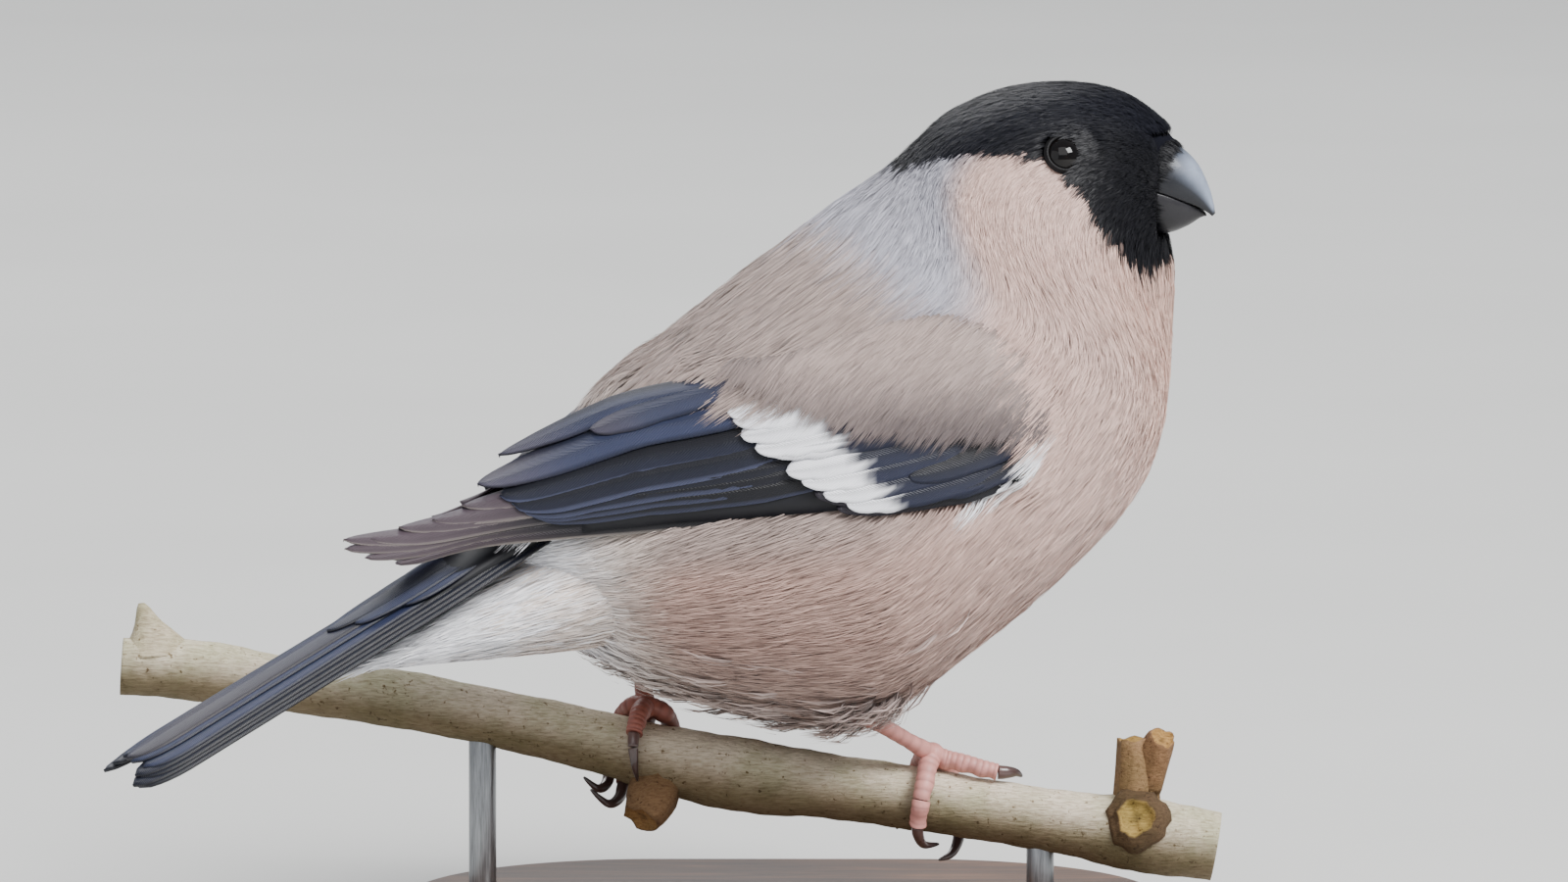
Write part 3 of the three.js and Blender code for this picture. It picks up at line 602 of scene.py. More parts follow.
@dataclass(frozen=True)
class TintedFinish(Finish):
    """A surface in its piece's own colours, with gloss, sheen and fine relief of its own."""

    effects: Effects
    roughness: float
    specular: float = 0.5
    sheen: float = 0.0
    sheen_tint: str = "ffffff"
    coat: float = 0.0
    mottle: float = 0.12
    mottle_scale: float = 400.0
    mottle_rough: float = 0.12  # how far the mottle also moves the roughness
    barb_relief: float = 0.0
    barb_pitch: float = 0.42
    barb_dark: tuple[float, ...] = (0.45, 0.45, 0.5, 1)
    grain_relief: float = 0.0
    grain_scale: float = 2500.0

    def inputs(self, hand: Nodes) -> dict:
        """Wires mottle, barbs and grain.

        Args:
            hand: A hand for the material's nodes.

        Returns:
            Values and sockets of the shader's inputs, by name.
        """
        where = hand.place()
        mottle = hand.add("ShaderNodeGroup", node_tree=self.effects.mottle)
        hand.feed(mottle, {
            "Colour": hand.tint(), "Place": where, "Scale": self.mottle_scale, "Amount": self.mottle,
        })
        colour, normal = mottle.outputs["Colour"], None
        if self.barb_relief:
            barbs = hand.add("ShaderNodeGroup", node_tree=self.effects.barbs)
            hand.feed(barbs, {"Pitch": self.barb_pitch})
            share = hand.math("MULTIPLY", barbs.outputs["Line"], 0.35)
            colour = hand.mix(share, colour, hand.mix(1.0, colour, self.barb_dark, "MULTIPLY"))
            normal = hand.bump(barbs.outputs["Height"], self.barb_relief, 0.1)
        if self.grain_relief:
            normal = hand.bump(hand.noise(where, self.grain_scale, 6.0), self.grain_relief, 0.2, normal)
        rough = hand.math("MULTIPLY", mottle.outputs["Value"], self.mottle_rough)
        rough = hand.math("ADD", rough, self.roughness - self.mottle_rough / 2)
        inputs = {
            "Base Color": colour, "Roughness": rough, "Specular IOR Level": self.specular,
            "Sheen Weight": self.sheen, "Sheen Roughness": 0.45, "Sheen Tint": rgba(self.sheen_tint),
            "Coat Weight": self.coat, "Coat Roughness": 0.08,
        }
        return inputs | ({"Normal": normal} if normal is not None else {})


@dataclass(frozen=True)
class BarkFinish(Finish):
    """Grey-brown bark with fine grain along the branch."""

    name: str = "Bark"
    fibre: float = 4200.0
    patch: float = 130.0
    speck: float = 1500.0

    def inputs(self, hand: Nodes) -> dict:
        """Wires grain, patches and specks.

        Args:
            hand: A hand for the material's nodes.

        Returns:
            Values and sockets of the shader's inputs, by name.
        """
        where = hand.place()
        fibre = hand.noise(hand.stretched(where, (0.16, 1.0, 1.0)), self.fibre, 6.0, 0.7)
        patch = hand.noise(where, self.patch)
        speck = hand.noise(where, self.speck, 3.0)
        fine = hand.ramp(fibre, [(0.34, (0.6, 0.55, 0.48, 1)), (0.6, (1.06, 1.05, 1.02, 1))])
        colour = hand.mix(1.0, hand.tint(), fine, "MULTIPLY")
        olive = hand.ramp(patch, [(0.38, (0.78, 0.8, 0.62, 1)), (0.6, (1.12, 1.06, 1.0, 1))])
        colour = hand.mix(0.8, colour, hand.mix(1.0, colour, olive, "MULTIPLY"))
        dark = hand.ramp(speck, [(0.3, (0.35, 0.28, 0.2, 1)), (0.38, (1, 1, 1, 1))])
        return {
            "Base Color": hand.mix(1.0, colour, dark, "MULTIPLY"), "Roughness": 0.82,
            "Specular IOR Level": 0.3, "Normal": hand.bump(patch, 0.5, 0.8, hand.bump(fibre, 0.7, 0.35)),
        }


@dataclass(frozen=True)
class WoodFinish(Finish):
    """Dark turned wood with an oiled face."""

    name: str = "Oiled wood"
    tones: tuple[str, ...] = ("3c2618", "5f3f29", "7b5638")

    def inputs(self, hand: Nodes) -> dict:
        """Wires growth rings and pores.

        Args:
            hand: A hand for the material's nodes.

        Returns:
            Values and sockets of the shader's inputs, by name.
        """
        long = hand.stretched(hand.place(), (0.12, 1.0, 1.0))
        inputs = {"Vector": long, "Scale": 330.0, "Detail": 6.0, "Distortion": 1.1}
        rings = hand.add("ShaderNodeTexNoise", inputs).outputs[0]
        pores = hand.noise(long, 2400.0, 3.0)
        colour = hand.ramp(rings, list(zip((0.3, 0.52, 0.72), map(rgba, self.tones))))
        dark = hand.ramp(pores, [(0.3, (0.55, 0.5, 0.45, 1)), (0.42, (1, 1, 1, 1))])
        return {
            "Base Color": hand.mix(1.0, colour, dark, "MULTIPLY"), "Roughness": 0.42, "Coat Weight": 0.25,
            "Coat Roughness": 0.2, "Normal": hand.bump(pores, 0.25, 0.2),
        }


@dataclass(frozen=True)
class MetalFinish(Finish):
    """Brushed steel."""

    name: str = "Brushed steel"
    tones: tuple[str, ...] = ("77797c", "a2a5a8")

    def inputs(self, hand: Nodes) -> dict:
        """Wires the brushed lines.

        Args:
            hand: A hand for the material's nodes.

        Returns:
            Values and sockets of the shader's inputs, by name.
        """
        brushed = hand.noise(hand.stretched(hand.place(), (1.0, 1.0, 0.05)), 6000.0, 3.0)
        return {
            "Base Color": hand.ramp(brushed, list(zip((0.3, 0.7), map(rgba, self.tones)))), "Metallic": 0.95,
            "Roughness": hand.math("ADD", hand.math("MULTIPLY", brushed, 0.2), 0.25),
        }


@dataclass(frozen=True)
class SpeckledFinish(Finish):
    """Two near tones in soft specks: the wet black eye and the pale floor."""

    tones: tuple[str, str]
    stops: tuple[float, float]
    scale: float
    roughness: float
    specular: float = 0.5

    def inputs(self, hand: Nodes) -> dict:
        """Wires the specks.

        Args:
            hand: A hand for the material's nodes.

        Returns:
            Values and sockets of the shader's inputs, by name.
        """
        speck = hand.noise(hand.place(), self.scale, 3.0)
        return {
            "Base Color": hand.ramp(speck, list(zip(self.stops, map(rgba, self.tones)))),
            "Roughness": self.roughness, "Specular IOR Level": self.specular,
        }


# Forms


class Form:
    """A curved surface with two parameters, u and v, in the bird's frame."""

    handed = 1.0
    step = (0.02, 0.02)

    def point(self, u: Array, v: Array) -> Array:
        """Points on the surface, in millimetres."""
        raise NotImplementedError

    def frame(self, u: Array, v: Array) -> tuple[Array, Array, Array, Array]:
        """The surface's own axes.

        Args:
            u: First parameter.
            v: Second parameter.

        Returns:
            Points, change by u, change by v, and the direction straight out.
        """
        eu, ev = self.step
        du = (self.point(u + eu, v) - self.point(u - eu, v)) / (2 * eu)
        dv = (self.point(u, v + ev) - self.point(u, v - ev)) / (2 * ev)
        return self.point(u, v), du, dv, unit(np.cross(dv, du)) * self.handed

    def lift(self, p: Array) -> Array:
        """How far what grows at points p is raised."""
        return np.zeros(p.shape[:-1])

    def map_place(self, u: Array, v: Array) -> Array:
        """The place on an unwrap of this surface, from 0 to 1."""
        raise NotImplementedError

    def world(self, p: Array) -> Array:
        """Points of the bird's frame in the stand's frame, in metres."""
        raise NotImplementedError


@dataclass
class Pose:
    """Where the bird stands and how its head is turned."""

    place: tuple[float, float, float] = (6.8, 0.0, 0.0)
    yaw: float = 22.0
    head_turn: float = -28.0
    pivot_x: float = 23.4
    # the neck's foot as x and z, how steeply it rises, and where along it the turn begins and ends
    foot: tuple[float, float] = (20.0, 80.0)
    tilt: float = 65.0
    reach: tuple[float, float] = (-9.0, 11.0)

    def turned(self, p: Array) -> Array:
        """Turns points with the head.

        Args:
            p: Points of the bird's frame.

        Returns:
            The same points, turned the more the further they lie up the neck.
        """
        tilt = math.radians(self.tilt)
        along = (p[..., 0] - self.foot[0]) * math.cos(tilt) + (p[..., 2] - self.foot[1]) * math.sin(tilt)
        angle = math.radians(self.head_turn) * soft(along, *self.reach)
        x, y = p[..., 0] - self.pivot_x, p[..., 1]
        cos, sin = np.cos(angle), np.sin(angle)
        return np.stack([self.pivot_x + x * cos - y * sin, x * sin + y * cos, p[..., 2]], -1)

    def placed(self, p: Array) -> Array:
        """Sets points on the perch.

        Args:
            p: Points of the bird's frame, in millimetres.

        Returns:
            The points in the stand's frame, in metres.
        """
        cos, sin = math.cos(math.radians(self.yaw)), math.sin(math.radians(self.yaw))
        x, y = p[..., 0], p[..., 1]
        out = np.stack([x * cos - y * sin, x * sin + y * cos, p[..., 2]], -1)
        return (out + np.array(self.place)) * MM


@dataclass
class BodyForm(Form):
    """The body from the rump (u = 0) to the foot of the bill, with v round it from the back to the left."""

    pose: Pose
    wings: list["WingForm"] = field(default_factory=list)
    brows: list[Array] = field(default_factory=list)
    # x and z on the back, x and z on the belly, half width, how far the widest point lies above the middle
    ribs: Rows = Rows((
        (-42.5, 53.5, -37.0, 45.0, 4.5, 0.0),
        (-36.0, 58.5, -32.0, 39.5, 10.5, 0.0),
        (-28.0, 66.0, -26.0, 34.6, 16.5, 0.0),
        (-18.4, 73.7, -14.0, 29.8, 22.0, 0.0),
        (-8.0, 81.0, 1.0, 27.4, 25.3, -0.05),
        (-1.0, 85.4, 15.5, 35.5, 25.6, -0.08),
        (3.4, 88.0, 29.1, 45.5, 24.0, -0.05),
        (6.7, 90.0, 37.2, 54.2, 21.8, 0.0),
        (9.0, 91.8, 40.4, 64.8, 19.4, 0.0),
        (11.4, 94.1, 41.2, 74.1, 16.8, 0.05),
        (15.5, 97.6, 41.4, 79.0, 14.6, 0.1),
        (22.0, 100.3, 41.2, 81.0, 13.0, 0.15),
        (29.5, 101.0, 41.0, 82.2, 10.6, 0.22),
        (35.5, 99.9, 40.8, 82.9, 7.6, 0.25),
        (40.0, 97.0, 40.4, 83.4, 4.8, 0.2),
        (42.2, 94.6, 40.0, 84.2, 3.0, 0.1),
    ))
    # height, distance from the eye's middle and breadth of the brow
    brow: tuple[float, float, float] = (0.3, 3.7, 0.9)
    handed = -1.0

    @property
    def last(self) -> int:
        """The number of the last rib."""
        return len(self.ribs.table) - 1

    def slice_point(self, u: Array, v: Array) -> Array:
        """Points between the first and the last rib.

        Args:
            u: Places along the body, in ribs.
            v: Angles round it.

        Returns:
            The points.
        """
        r = self.ribs.at(u)
        down = (1 - np.cos(v)) / 2
        x, z = (r[..., k] + (r[..., k + 2] - r[..., k]) * down for k in (0, 1))
        return np.stack([x, r[..., 4] * np.sin(v + r[..., 5] * np.sin(v)), z], -1)

    def point(self, u: Array, v: Array) -> Array:
        """Points on the body, which runs straight on past its ends.

        Args:
            u: Places along it, in ribs.
            v: Angles round it.

        Returns:
            The points.
        """
        s = np.clip(u, 0, self.last)
        inner = np.clip(s, 0.05, self.last - 0.05)
        slope = (self.slice_point(inner + 0.05, v) - self.slice_point(inner - 0.05, v)) * 10
        return self.slice_point(s, v) + slope * (u - s)[..., None]

    def lift(self, p: Array) -> Array:
        """Raises feathers by the wings' height over their edges, and a brow over each eye.

        Args:
            p: Points.

        Returns:
            How far the feathers there are raised.
        """
        height, far, broad = self.brow
        rise = sum((wing.raise_at(p) for wing in self.wings), np.zeros(p.shape[:-1]))
        for eye in self.brows:
            off = np.linalg.norm(p - eye, axis=-1)
            rise = rise + height * np.exp(-(((off - far) / broad) ** 2)) * soft(p[..., 2] - eye[2], -0.2, 2.0)
        return rise

    def map_place(self, u: Array, v: Array) -> Array:
        """The body rolled out flat: round it across, along it upwards."""
        across, up = (v / TURN + 0.5) % 1.0, np.clip(u / self.last, 0, 1)
        return np.stack([0.01 + 0.98 * across, 0.02 + 0.96 * up], -1)

    def world(self, p: Array) -> Array:
        """Turned with the head and placed."""
        return self.pose.placed(self.pose.turned(p))

    def spot(self, x: float, z: float, side: Side) -> tuple[Array, Array]:
        """The place on one side at this x and z.

        Args:
            x: Forward.
            z: Up.
            side: Which side.

        Returns:
            The point and the direction straight out of it, before the turn of the head.
        """
        head = np.linspace(8, self.last, 701)
        u, v = np.meshgrid(head, np.radians(np.linspace(10, 170, 801)), indexing="ij")
        p = self.slice_point(u, v)
        k = np.unravel_index(np.argmin((p[..., 0] - x) ** 2 + (p[..., 2] - z) ** 2), u.shape)
        point, _, _, out = self.frame(u[k], v[k])
        flip = np.array([1, side.value, 1])
        return point * flip, out * flip


@dataclass
class WingForm(Form):
    """The outer surface of a folded wing: u is x, v the angle down from the top."""

    pose: Pose
    side: Side
    shift: tuple[float, float, float] = (0.0, 0.0, 0.0)
    # x, height of the widest line, how far its centre lies beyond the middle plane, half width, half height
    stations: Rows = Rows((
        (24, 59.6, 0, 23.2, 36), (10, 56.3, 0, 25.9, 35), (0, 55.0, 0, 25.9, 30.5), (-10, 54.0, 0, 24.1, 26),
        (-20, 53.3, 0, 20.5, 20.2), (-30, 52.9, 0, 15.5, 15.2), (-38, 52.6, 1.0, 12.6, 10.3),
        (-46, 51.8, 3.0, 11.3, 6.8), (-54, 49.6, 6.0, 12.0, 7.2), (-66, 47.4, 9.0, 12.5, 9),
    ))
    # x, z low, z high
    edges: Rows = Rows((
        (18.5, 60.0, 65.5), (16.0, 57.2, 69.8), (11.0, 56.2, 73.2), (5.0, 55.4, 75.0), (-5.0, 54.6, 72.8),
        (-13.0, 54.0, 70.4), (-19.0, 53.5, 69.8), (-25.0, 53.0, 70.0), (-31.0, 52.3, 67.6),
        (-37.0, 51.5, 64.0), (-44.0, 50.3, 60.6), (-52.0, 48.8, 57.0), (-66.0, 46.5, 52.0),
    ))
    front: float = 18.5
    thick: float = 2.4
    near: float = 4.0  # how far under the wing's surface points still count as beside it
    raised: float = 0.95
    sunk: float = 0.9
    step = (0.05, 0.02)

    def point(self, u: Array, v: Array) -> Array:
        """Points of the right wing's surface."""
        r = self.stations.where(u)
        return np.stack([u + 0 * v, r[..., 2] - r[..., 3] * np.sin(v), r[..., 1] + r[..., 4] * np.cos(v)], -1)

    def angle(self, x: Array, z: Array) -> Array:
        """The angle at which the surface has this height."""
        r = self.stations.where(x)
        return np.arccos(np.clip((z - r[..., 1]) / r[..., 4], -0.99, 0.995))

    def reach_inside(self, p: Array) -> tuple[Array, Array, Array]:
        """How far points lie inside the wing's outline. On the bird's other side they lie far outside.

        Args:
            p: Points of the body.

        Returns:
            How far they lie above the lower edge, under the upper one and behind the front.
        """
        x, z = p[..., 0] - self.shift[0], p[..., 2] - self.shift[2]
        r = self.edges.where(x)
        off = np.where(p[..., 1] * self.side.value > 0, 0, -99.0)
        beside = np.abs(p[..., 1]) - self.outer(p) + self.near
        return z - r[..., 1] + off, np.minimum(r[..., 2] - z, beside) + off, self.front - x + off

    def raise_at(self, p: Array) -> Array:
        """Raises body feathers over the wing's upper and front edges and sinks them under its lower one.

        Args:
            p: Points of the body.

        Returns:
            How far the feathers there are raised.
        """
        low, high, front = self.reach_inside(p)
        corner = soft(8 - front, -2, 4)
        over = self.raised * soft(np.minimum(np.minimum(high, front), low - 1.5 + 3.5 * corner), -1.6, 1.2)
        under = soft(low, -2.4, -0.2) * (1 - soft(low, 3.0, 5.0)) * (1 - corner)
        return over - self.sunk * under * (1 - over)

    def outer(self, p: Array) -> Array:
        """Reads how far out the wing's surface lies.

        Args:
            p: Points of the body.

        Returns:
            Its distance from the middle plane at the points' x and z.
        """
        x, z = p[..., 0] - self.shift[0], p[..., 2] - self.shift[2]
        r = self.stations.where(x)
        return r[..., 3] * np.sin(self.angle(x, z)) - r[..., 2] + self.side.value * self.shift[1]

    def press(self, p: Array) -> Array:
        """How far points of the skin are pressed in so that the wing lies on them."""
        inside = soft(np.minimum.reduce(self.reach_inside(p)), 0.0, 1.5)
        return np.clip(np.abs(p[..., 1]) - (self.outer(p) - self.thick), 0, 6) * inside

    def covers(self, p: Array) -> Array:
        """How surely the wing hides the roots of body feathers.

        Args:
            p: Points of the body.

        Returns:
            From 0 where it hides none to 1.
        """
        low, high, front = self.reach_inside(p)
        margin = np.interp(p[..., 0] - self.shift[0], (-22, -10), (0.1, 2.2))
        return soft(np.minimum(np.minimum(high - margin, front - 2.2), low - 0.8), 0, 0.8)

    def map_place(self, u: Array, v: Array) -> Array:
        """The wing's surface rolled out flat."""
        return np.stack([np.clip((u + 30) / 56, 0.01, 0.99), np.clip(v / 2.2, 0.01, 0.99)], -1)

    def world(self, p: Array) -> Array:
        """Mirrored for the left side, shifted and placed."""
        q = p * np.array([1, -self.side.value, 1]) + np.array(self.shift)
        return self.pose.placed(q)


@dataclass
class VentForm(Form):
    """The long soft feathers under the tail, u along them and v round them."""

    pose: Pose
    # x and z of its ends, half width and half depth there, and how far the tip lies to one side
    root: tuple[float, float] = (-24.0, 47.6)
    tip: tuple[float, float] = (-58.0, 37.0)
    half: tuple[float, float] = (12.5, 3.6)
    deep: tuple[float, float] = (9.5, 2.6)
    side: float = -1.0
    blunt: float = 0.96
    handed = -1.0

    def point(self, u: Array, v: Array) -> Array:
        """Points of the wedge.

        Args:
            u: Places along it, from 0 at the root to 1.
            v: Angles round it.

        Returns:
            The points.
        """
        ease = np.sqrt(np.clip(1 - self.blunt * u * u, 0.02, 1))
        mid = np.stack([self.root[0] + (self.tip[0] - self.root[0]) * u, self.side * u + 0 * v,
                        self.root[1] + (self.tip[1] - self.root[1]) * u], -1)
        half = (self.half[0] + (self.half[1] - self.half[0]) * u) * ease
        deep = (self.deep[0] + (self.deep[1] - self.deep[0]) * u) * ease
        return mid + np.stack([0 * u * v, half * np.cos(v), deep * np.sin(v)], -1)

    def map_place(self, u: Array, v: Array) -> Array:
        """The wedge rolled out flat."""
        return np.stack([0.01 + 0.98 * ((v / TURN) % 1.0), np.clip(u, 0.02, 0.98)], -1)

    def world(self, p: Array) -> Array:
        """Placed with the body."""
        return self.pose.placed(self.pose.turned(p))


# Markings


@dataclass(frozen=True)
class Markings:
    """Where the hen's colours lie on the body, which skin and coat share."""

    cap: str = CAP_BLACK
    # painted sheen: a lighter, bluer black over the top of the cap
    crown_sheen: str = "10111a"
    nape: str = "a3a2ac"
    mantle: str = "a19089"
    cheek: str = "d0b1a6"
    throat: str = "d0ad9f"
    breast: str = "c6a99f"
    flank: str = "b5968b"
    belly: str = "ae998f"
    vent: str = WHITE
    cream: str = "d8cac0"
    # degrees round from the back, and the rib from which the cap or the bib is black
    cap_edge: Rows = Rows((
        (0, 8.35), (18, 8.55), (34, 9.4), (44, 9.86), (54, 10.3), (62, 10.68), (69, 10.85), (81, 10.98),
        (90, 11.14), (100, 11.03), (107, 10.78), (116, 10.61), (133, 10.31), (146, 10.48), (161, 11.33),
        (170, 11.7), (180, 11.8),
    ))
    # degrees round from the back, and the rib up to which the rump and vent are white
    white_edge: Rows = Rows(((0, 1.9), (60, 1.5), (95, 1.6), (115, 1.6), (140, 1.9), (160, 2.2), (180, 2.4)))
    # rib and degrees of the white patch in front of the wing's bend, and its half size in each
    bend: tuple[float, float] = (5.55, 99.5)
    bend_size: tuple[float, float] = (0.55, 3.6)

    def colour(self, u: Array, v: Array) -> Array:
        """Colours at places on the body.

        Args:
            u: Places along it, in ribs.
            v: Angles round it.

        Returns:
            One linear colour for each place.
        """
        g = np.degrees(np.abs(signed_turn(v)))
        c = blend(rgb(self.flank) + 0 * u[..., None], rgb(self.breast), soft(u, 3.5, 6.5))
        c = blend(c, rgb(self.belly), soft(g, 120, 165) * (1 - soft(u, 3.5, 5.5)))
        c = blend(c, rgb(self.cheek), soft(u, 7.0, 8.8))
        c = blend(c, rgb(self.throat), soft(g, 100, 140) * soft(u, 6.5, 8.5))
        c = blend(c, rgb(self.mantle), (1 - soft(g, 84, 102)) * (1 - soft(u, 5.2, 6.4)))
        grey = soft(u, 5.0, 6.2) * (1 - soft(g, 52 - 3.5 * (u - 6), 72 - 3.5 * (u - 6)))
        c = blend(c, rgb(self.nape), grey)
        white = self.white_edge.line(g)
        c = blend(c, rgb(self.cream), 1 - soft(u - white, -0.1, 0.9))
        c = blend(c, rgb(self.vent), 1 - soft(u - white, -0.8, 0.4))
        bend = ((u - self.bend[0]) / self.bend_size[0]) ** 2 + ((g - self.bend[1]) / self.bend_size[1]) ** 2
        c = blend(c, rgb(self.vent), 1 - soft(bend, 0.6, 1.1))
        edge = self.cap_edge.line(g)
        # painted sheen: the cap's black turns to the lighter crown tone towards the top of the head
        black = blend(rgb(self.cap) + 0 * u[..., None], rgb(self.crown_sheen), 1 - soft(g, 30, 75))
        return blend(c, black, soft(u - edge, -0.05, 0.05))

    def is_cap(self, u: Array, v: Array) -> Array:
        """Where the cap and the bib lie."""
        return u > self.cap_edge.line(np.degrees(np.abs(signed_turn(v))))


# Coat


def scatter(form: Form, u_range: tuple, v_range: tuple, cells: tuple[int, int], density: Callable,
            rng: np.random.Generator) -> tuple[Array, Array]:
    """Spreads roots evenly over a form by passing each cell's remainder on to its neighbours.

    Args:
        form: The surface.
        u_range: First and last u.
        v_range: First and last v.
        cells: Cells along u and v.
        density: Roots for each square millimetre, from u, v and points.
        rng: The random source.

    Returns:
        The roots' u and v.
    """
    nu, nv = cells
    su, sv = (u_range[1] - u_range[0]) / nu, (v_range[1] - v_range[0]) / nv
    middles = u_range[0] + (np.arange(nu) + 0.5) * su, v_range[0] + (np.arange(nv) + 0.5) * sv
    u, v = np.meshgrid(*middles, indexing="ij")
    p, du, dv, _ = form.frame(u, v)
    want = np.linalg.norm(np.cross(du, dv), axis=-1) * su * sv * density(u, v, p)
    rows = [row.tolist() + [0.0] for row in want]
    rows.append([0.0] * (nv + 1))
    found_u, found_v = [], []
    for i in range(nu):
        row, below, carry = rows[i], rows[i + 1], 0.0
        for j in range(nv):
            x = row[j] + carry
            n = int(x + 0.5) if x > 0 else 0
            found_u.extend([i] * n)
            found_v.extend([j] * n)
            rest = (x - n) / 16
            carry = rest * 7
            below[j - 1] += rest * 3
            below[j] += rest * 5
            below[j + 1] += rest
    count = len(found_u)
    u = u_range[0] + (np.array(found_u) + rng.random(count)) * su
    v = v_range[0] + (np.array(found_v) + rng.random(count)) * sv
    return u, v


@dataclass
class Tufts:
    """Small body feathers, one value of each kind for each tuft."""

    u: Array
    v: Array
    back: Array  # share of the lie that runs against u
    down: Array  # share that runs along v
    length: Array
    width: Array
    level: Array  # of the tips, from the form
    depth: Array  # of the roots, under the tips
    colour: Array

    def pick(self, mask: Array) -> "Tufts":
        """The tufts for which mask holds."""
        return Tufts(*(getattr(self, k)[mask] for k in self.__dataclass_fields__))


# a barb's seven points: two at each of three stations and one at the tip
BARB_FACES = (np.array([0, 1, 3, 2]), np.array([2, 3, 5, 4]), np.array([4, 5, 6]))


@dataclass
class Coat:
    """Grows tufts of fine barbs on a form."""

    rng: np.random.Generator
    barbs: int = 6
    # places along a barb, its width there, and the painted shade and the place on the patch of its seven
    # points; the painted shade is darkest at the root, deep in the coat, and lightest at the tip
    stations: tuple[float, ...] = (0.0, 0.28, 0.64, 1.0)
    slim: tuple[float, ...] = (0.8, 1.0, 0.8, 0.0)
    painted_shading: tuple[float, ...] = (0.5, 0.5, 0.82, 0.82, 0.98, 0.98, 1.06)
    rises: tuple[float, ...] = (-1.0, -1.0, -0.2, -0.2, 0.5, 0.5, 1.0)
    fan: tuple[float, float] = (0.42, 0.7)  # spread of the barbs at the root, and what the tip adds
    curl: float = 3.2  # how late a barb leaves the level of the tips on its way to the root
    patch: float = 0.0015  # half the size of a tuft's patch on the map
    most_triangles: int = 185_000

    def strands(self, form: Form, tufts: Tufts, barbs: int, tilt: float) -> tuple[Array, Array, Array]:
        """The points of all barbs.

        Args:
            form: The surface that they grow on.
            tufts: The tufts.
            barbs: Barbs in each tuft.
            tilt: How far the barbs are turned about their own length.

        Returns:
            Points in metres, colours and map places, each as tufts by barbs by seven.
        """
        n, rng, noise = len(tufts.u), self.rng, self.rng.standard_normal
        t = np.array(self.stations)
        _, du, dv, _ = form.frame(tufts.u, tufts.v)
        lie = np.stack([tufts.back, tufts.down], -1)
        lie = lie / np.linalg.norm(lie, axis=-1, keepdims=True)
        run_u = -lie[:, 0] * tufts.length / np.maximum(np.linalg.norm(du, axis=-1), 0.3)
        run_v = lie[:, 1] * tufts.length / np.maximum(np.linalg.norm(dv, axis=-1), 0.3)
        run_v = np.clip(run_v, -0.8, 0.8)
        path_u, path_v = tufts.u[:, None] + run_u[:, None] * t, tufts.v[:, None] + run_v[:, None] * t
        p, _, _, out = form.frame(path_u, path_v)
        along = unit(np.gradient(p, axis=1))
        side = unit(np.cross(out, along))
        raised = form.lift(p)
        k = np.linspace(-0.5, 0.5, barbs)
        fan = self.fan[0] + self.fan[1] * t
        across = tufts.width[:, None, None] * (k[None, :, None] * fan + 0.1 * noise((n, barbs, 1)) * t)
        reach = 1 - 0.27 * (2 * k[None, :]) ** 2 - 0.16 * rng.random((n, barbs))
        back = (tufts.length[:, None] * (1 - reach))[..., None] * t
        level = tufts.level[:, None] - tufts.depth[:, None] * (1 - t) ** self.curl + raised
        level = level[:, None] + 0.06 * noise((n, barbs, 1)) * tufts.depth[:, None, None]
        centre = p[:, None] + side[:, None] * across[..., None] + out[:, None] * level[..., None]
        centre = centre - along[:, None] * back[..., None]
        tilt = tilt * noise((n, barbs, 1, 1))
        flat = side[:, None] * np.cos(tilt) + out[:, None] * np.sin(tilt)
        slim = (tufts.width / barbs * 0.62)[:, None, None] * np.array(self.slim)
        edge = flat * slim[..., None]
        pairs = np.stack([centre - edge, centre + edge], 3)
        points = np.concatenate([pairs[:, :, :3].reshape(n, barbs, 6, 3), centre[:, :, 3:]], 2)
        # painted shade along each barb, dark at the root and light at the tip, times a random tone for each
        # tuft and each barb
        shade = np.array(self.painted_shading) * (1 + 0.04 * noise((n, 1, 1))) * (1 + 0.085 * noise((n, barbs, 1)))
        colours = tufts.colour[:, None, None] * shade[..., None]
        root = form.map_place(tufts.u, tufts.v)
        spread = np.stack(np.meshgrid(2 * k, np.array(self.rises), indexing="ij"), -1)
        places = root[:, None, None] + self.patch * spread
        return form.world(points), np.clip(colours, 0, 1), places

    def grow(self, name: str, form: Form, tufts: Tufts, finish: Material, slot: str = "plumage",
             barbs: int | None = None, tilt: float = 0.4) -> None:
        """Makes and dresses the coat pieces of some tufts, each under the limit of triangles.

        Args:
            name: The pieces' first name.
            form: The surface.
            tufts: The tufts.
            finish: Their material.
            slot: The record's material slot.
            barbs: Barbs in each tuft, or the coat's own number.
            tilt: How far the barbs are turned about their own length.
        """
        barbs = barbs or self.barbs
        count = max(1, math.ceil(len(tufts.u) / (self.most_triangles // (barbs * 5))))
        order = np.argsort(tufts.u, kind="stable")
        for i, part in enumerate(np.array_split(order, count)):
            points, colours, places = self.strands(form, tufts.pick(part), barbs, tilt)
            first = np.arange(0, len(part) * barbs * 7, 7)[:, None]
            store = MeshStore()
            store.add(points, [first + row for row in BARB_FACES], colours, places)
            suffix = f"_{i + 1}" if count > 1 else ""
            dress(store.make(name + suffix, "OFBake"), finish, slot)


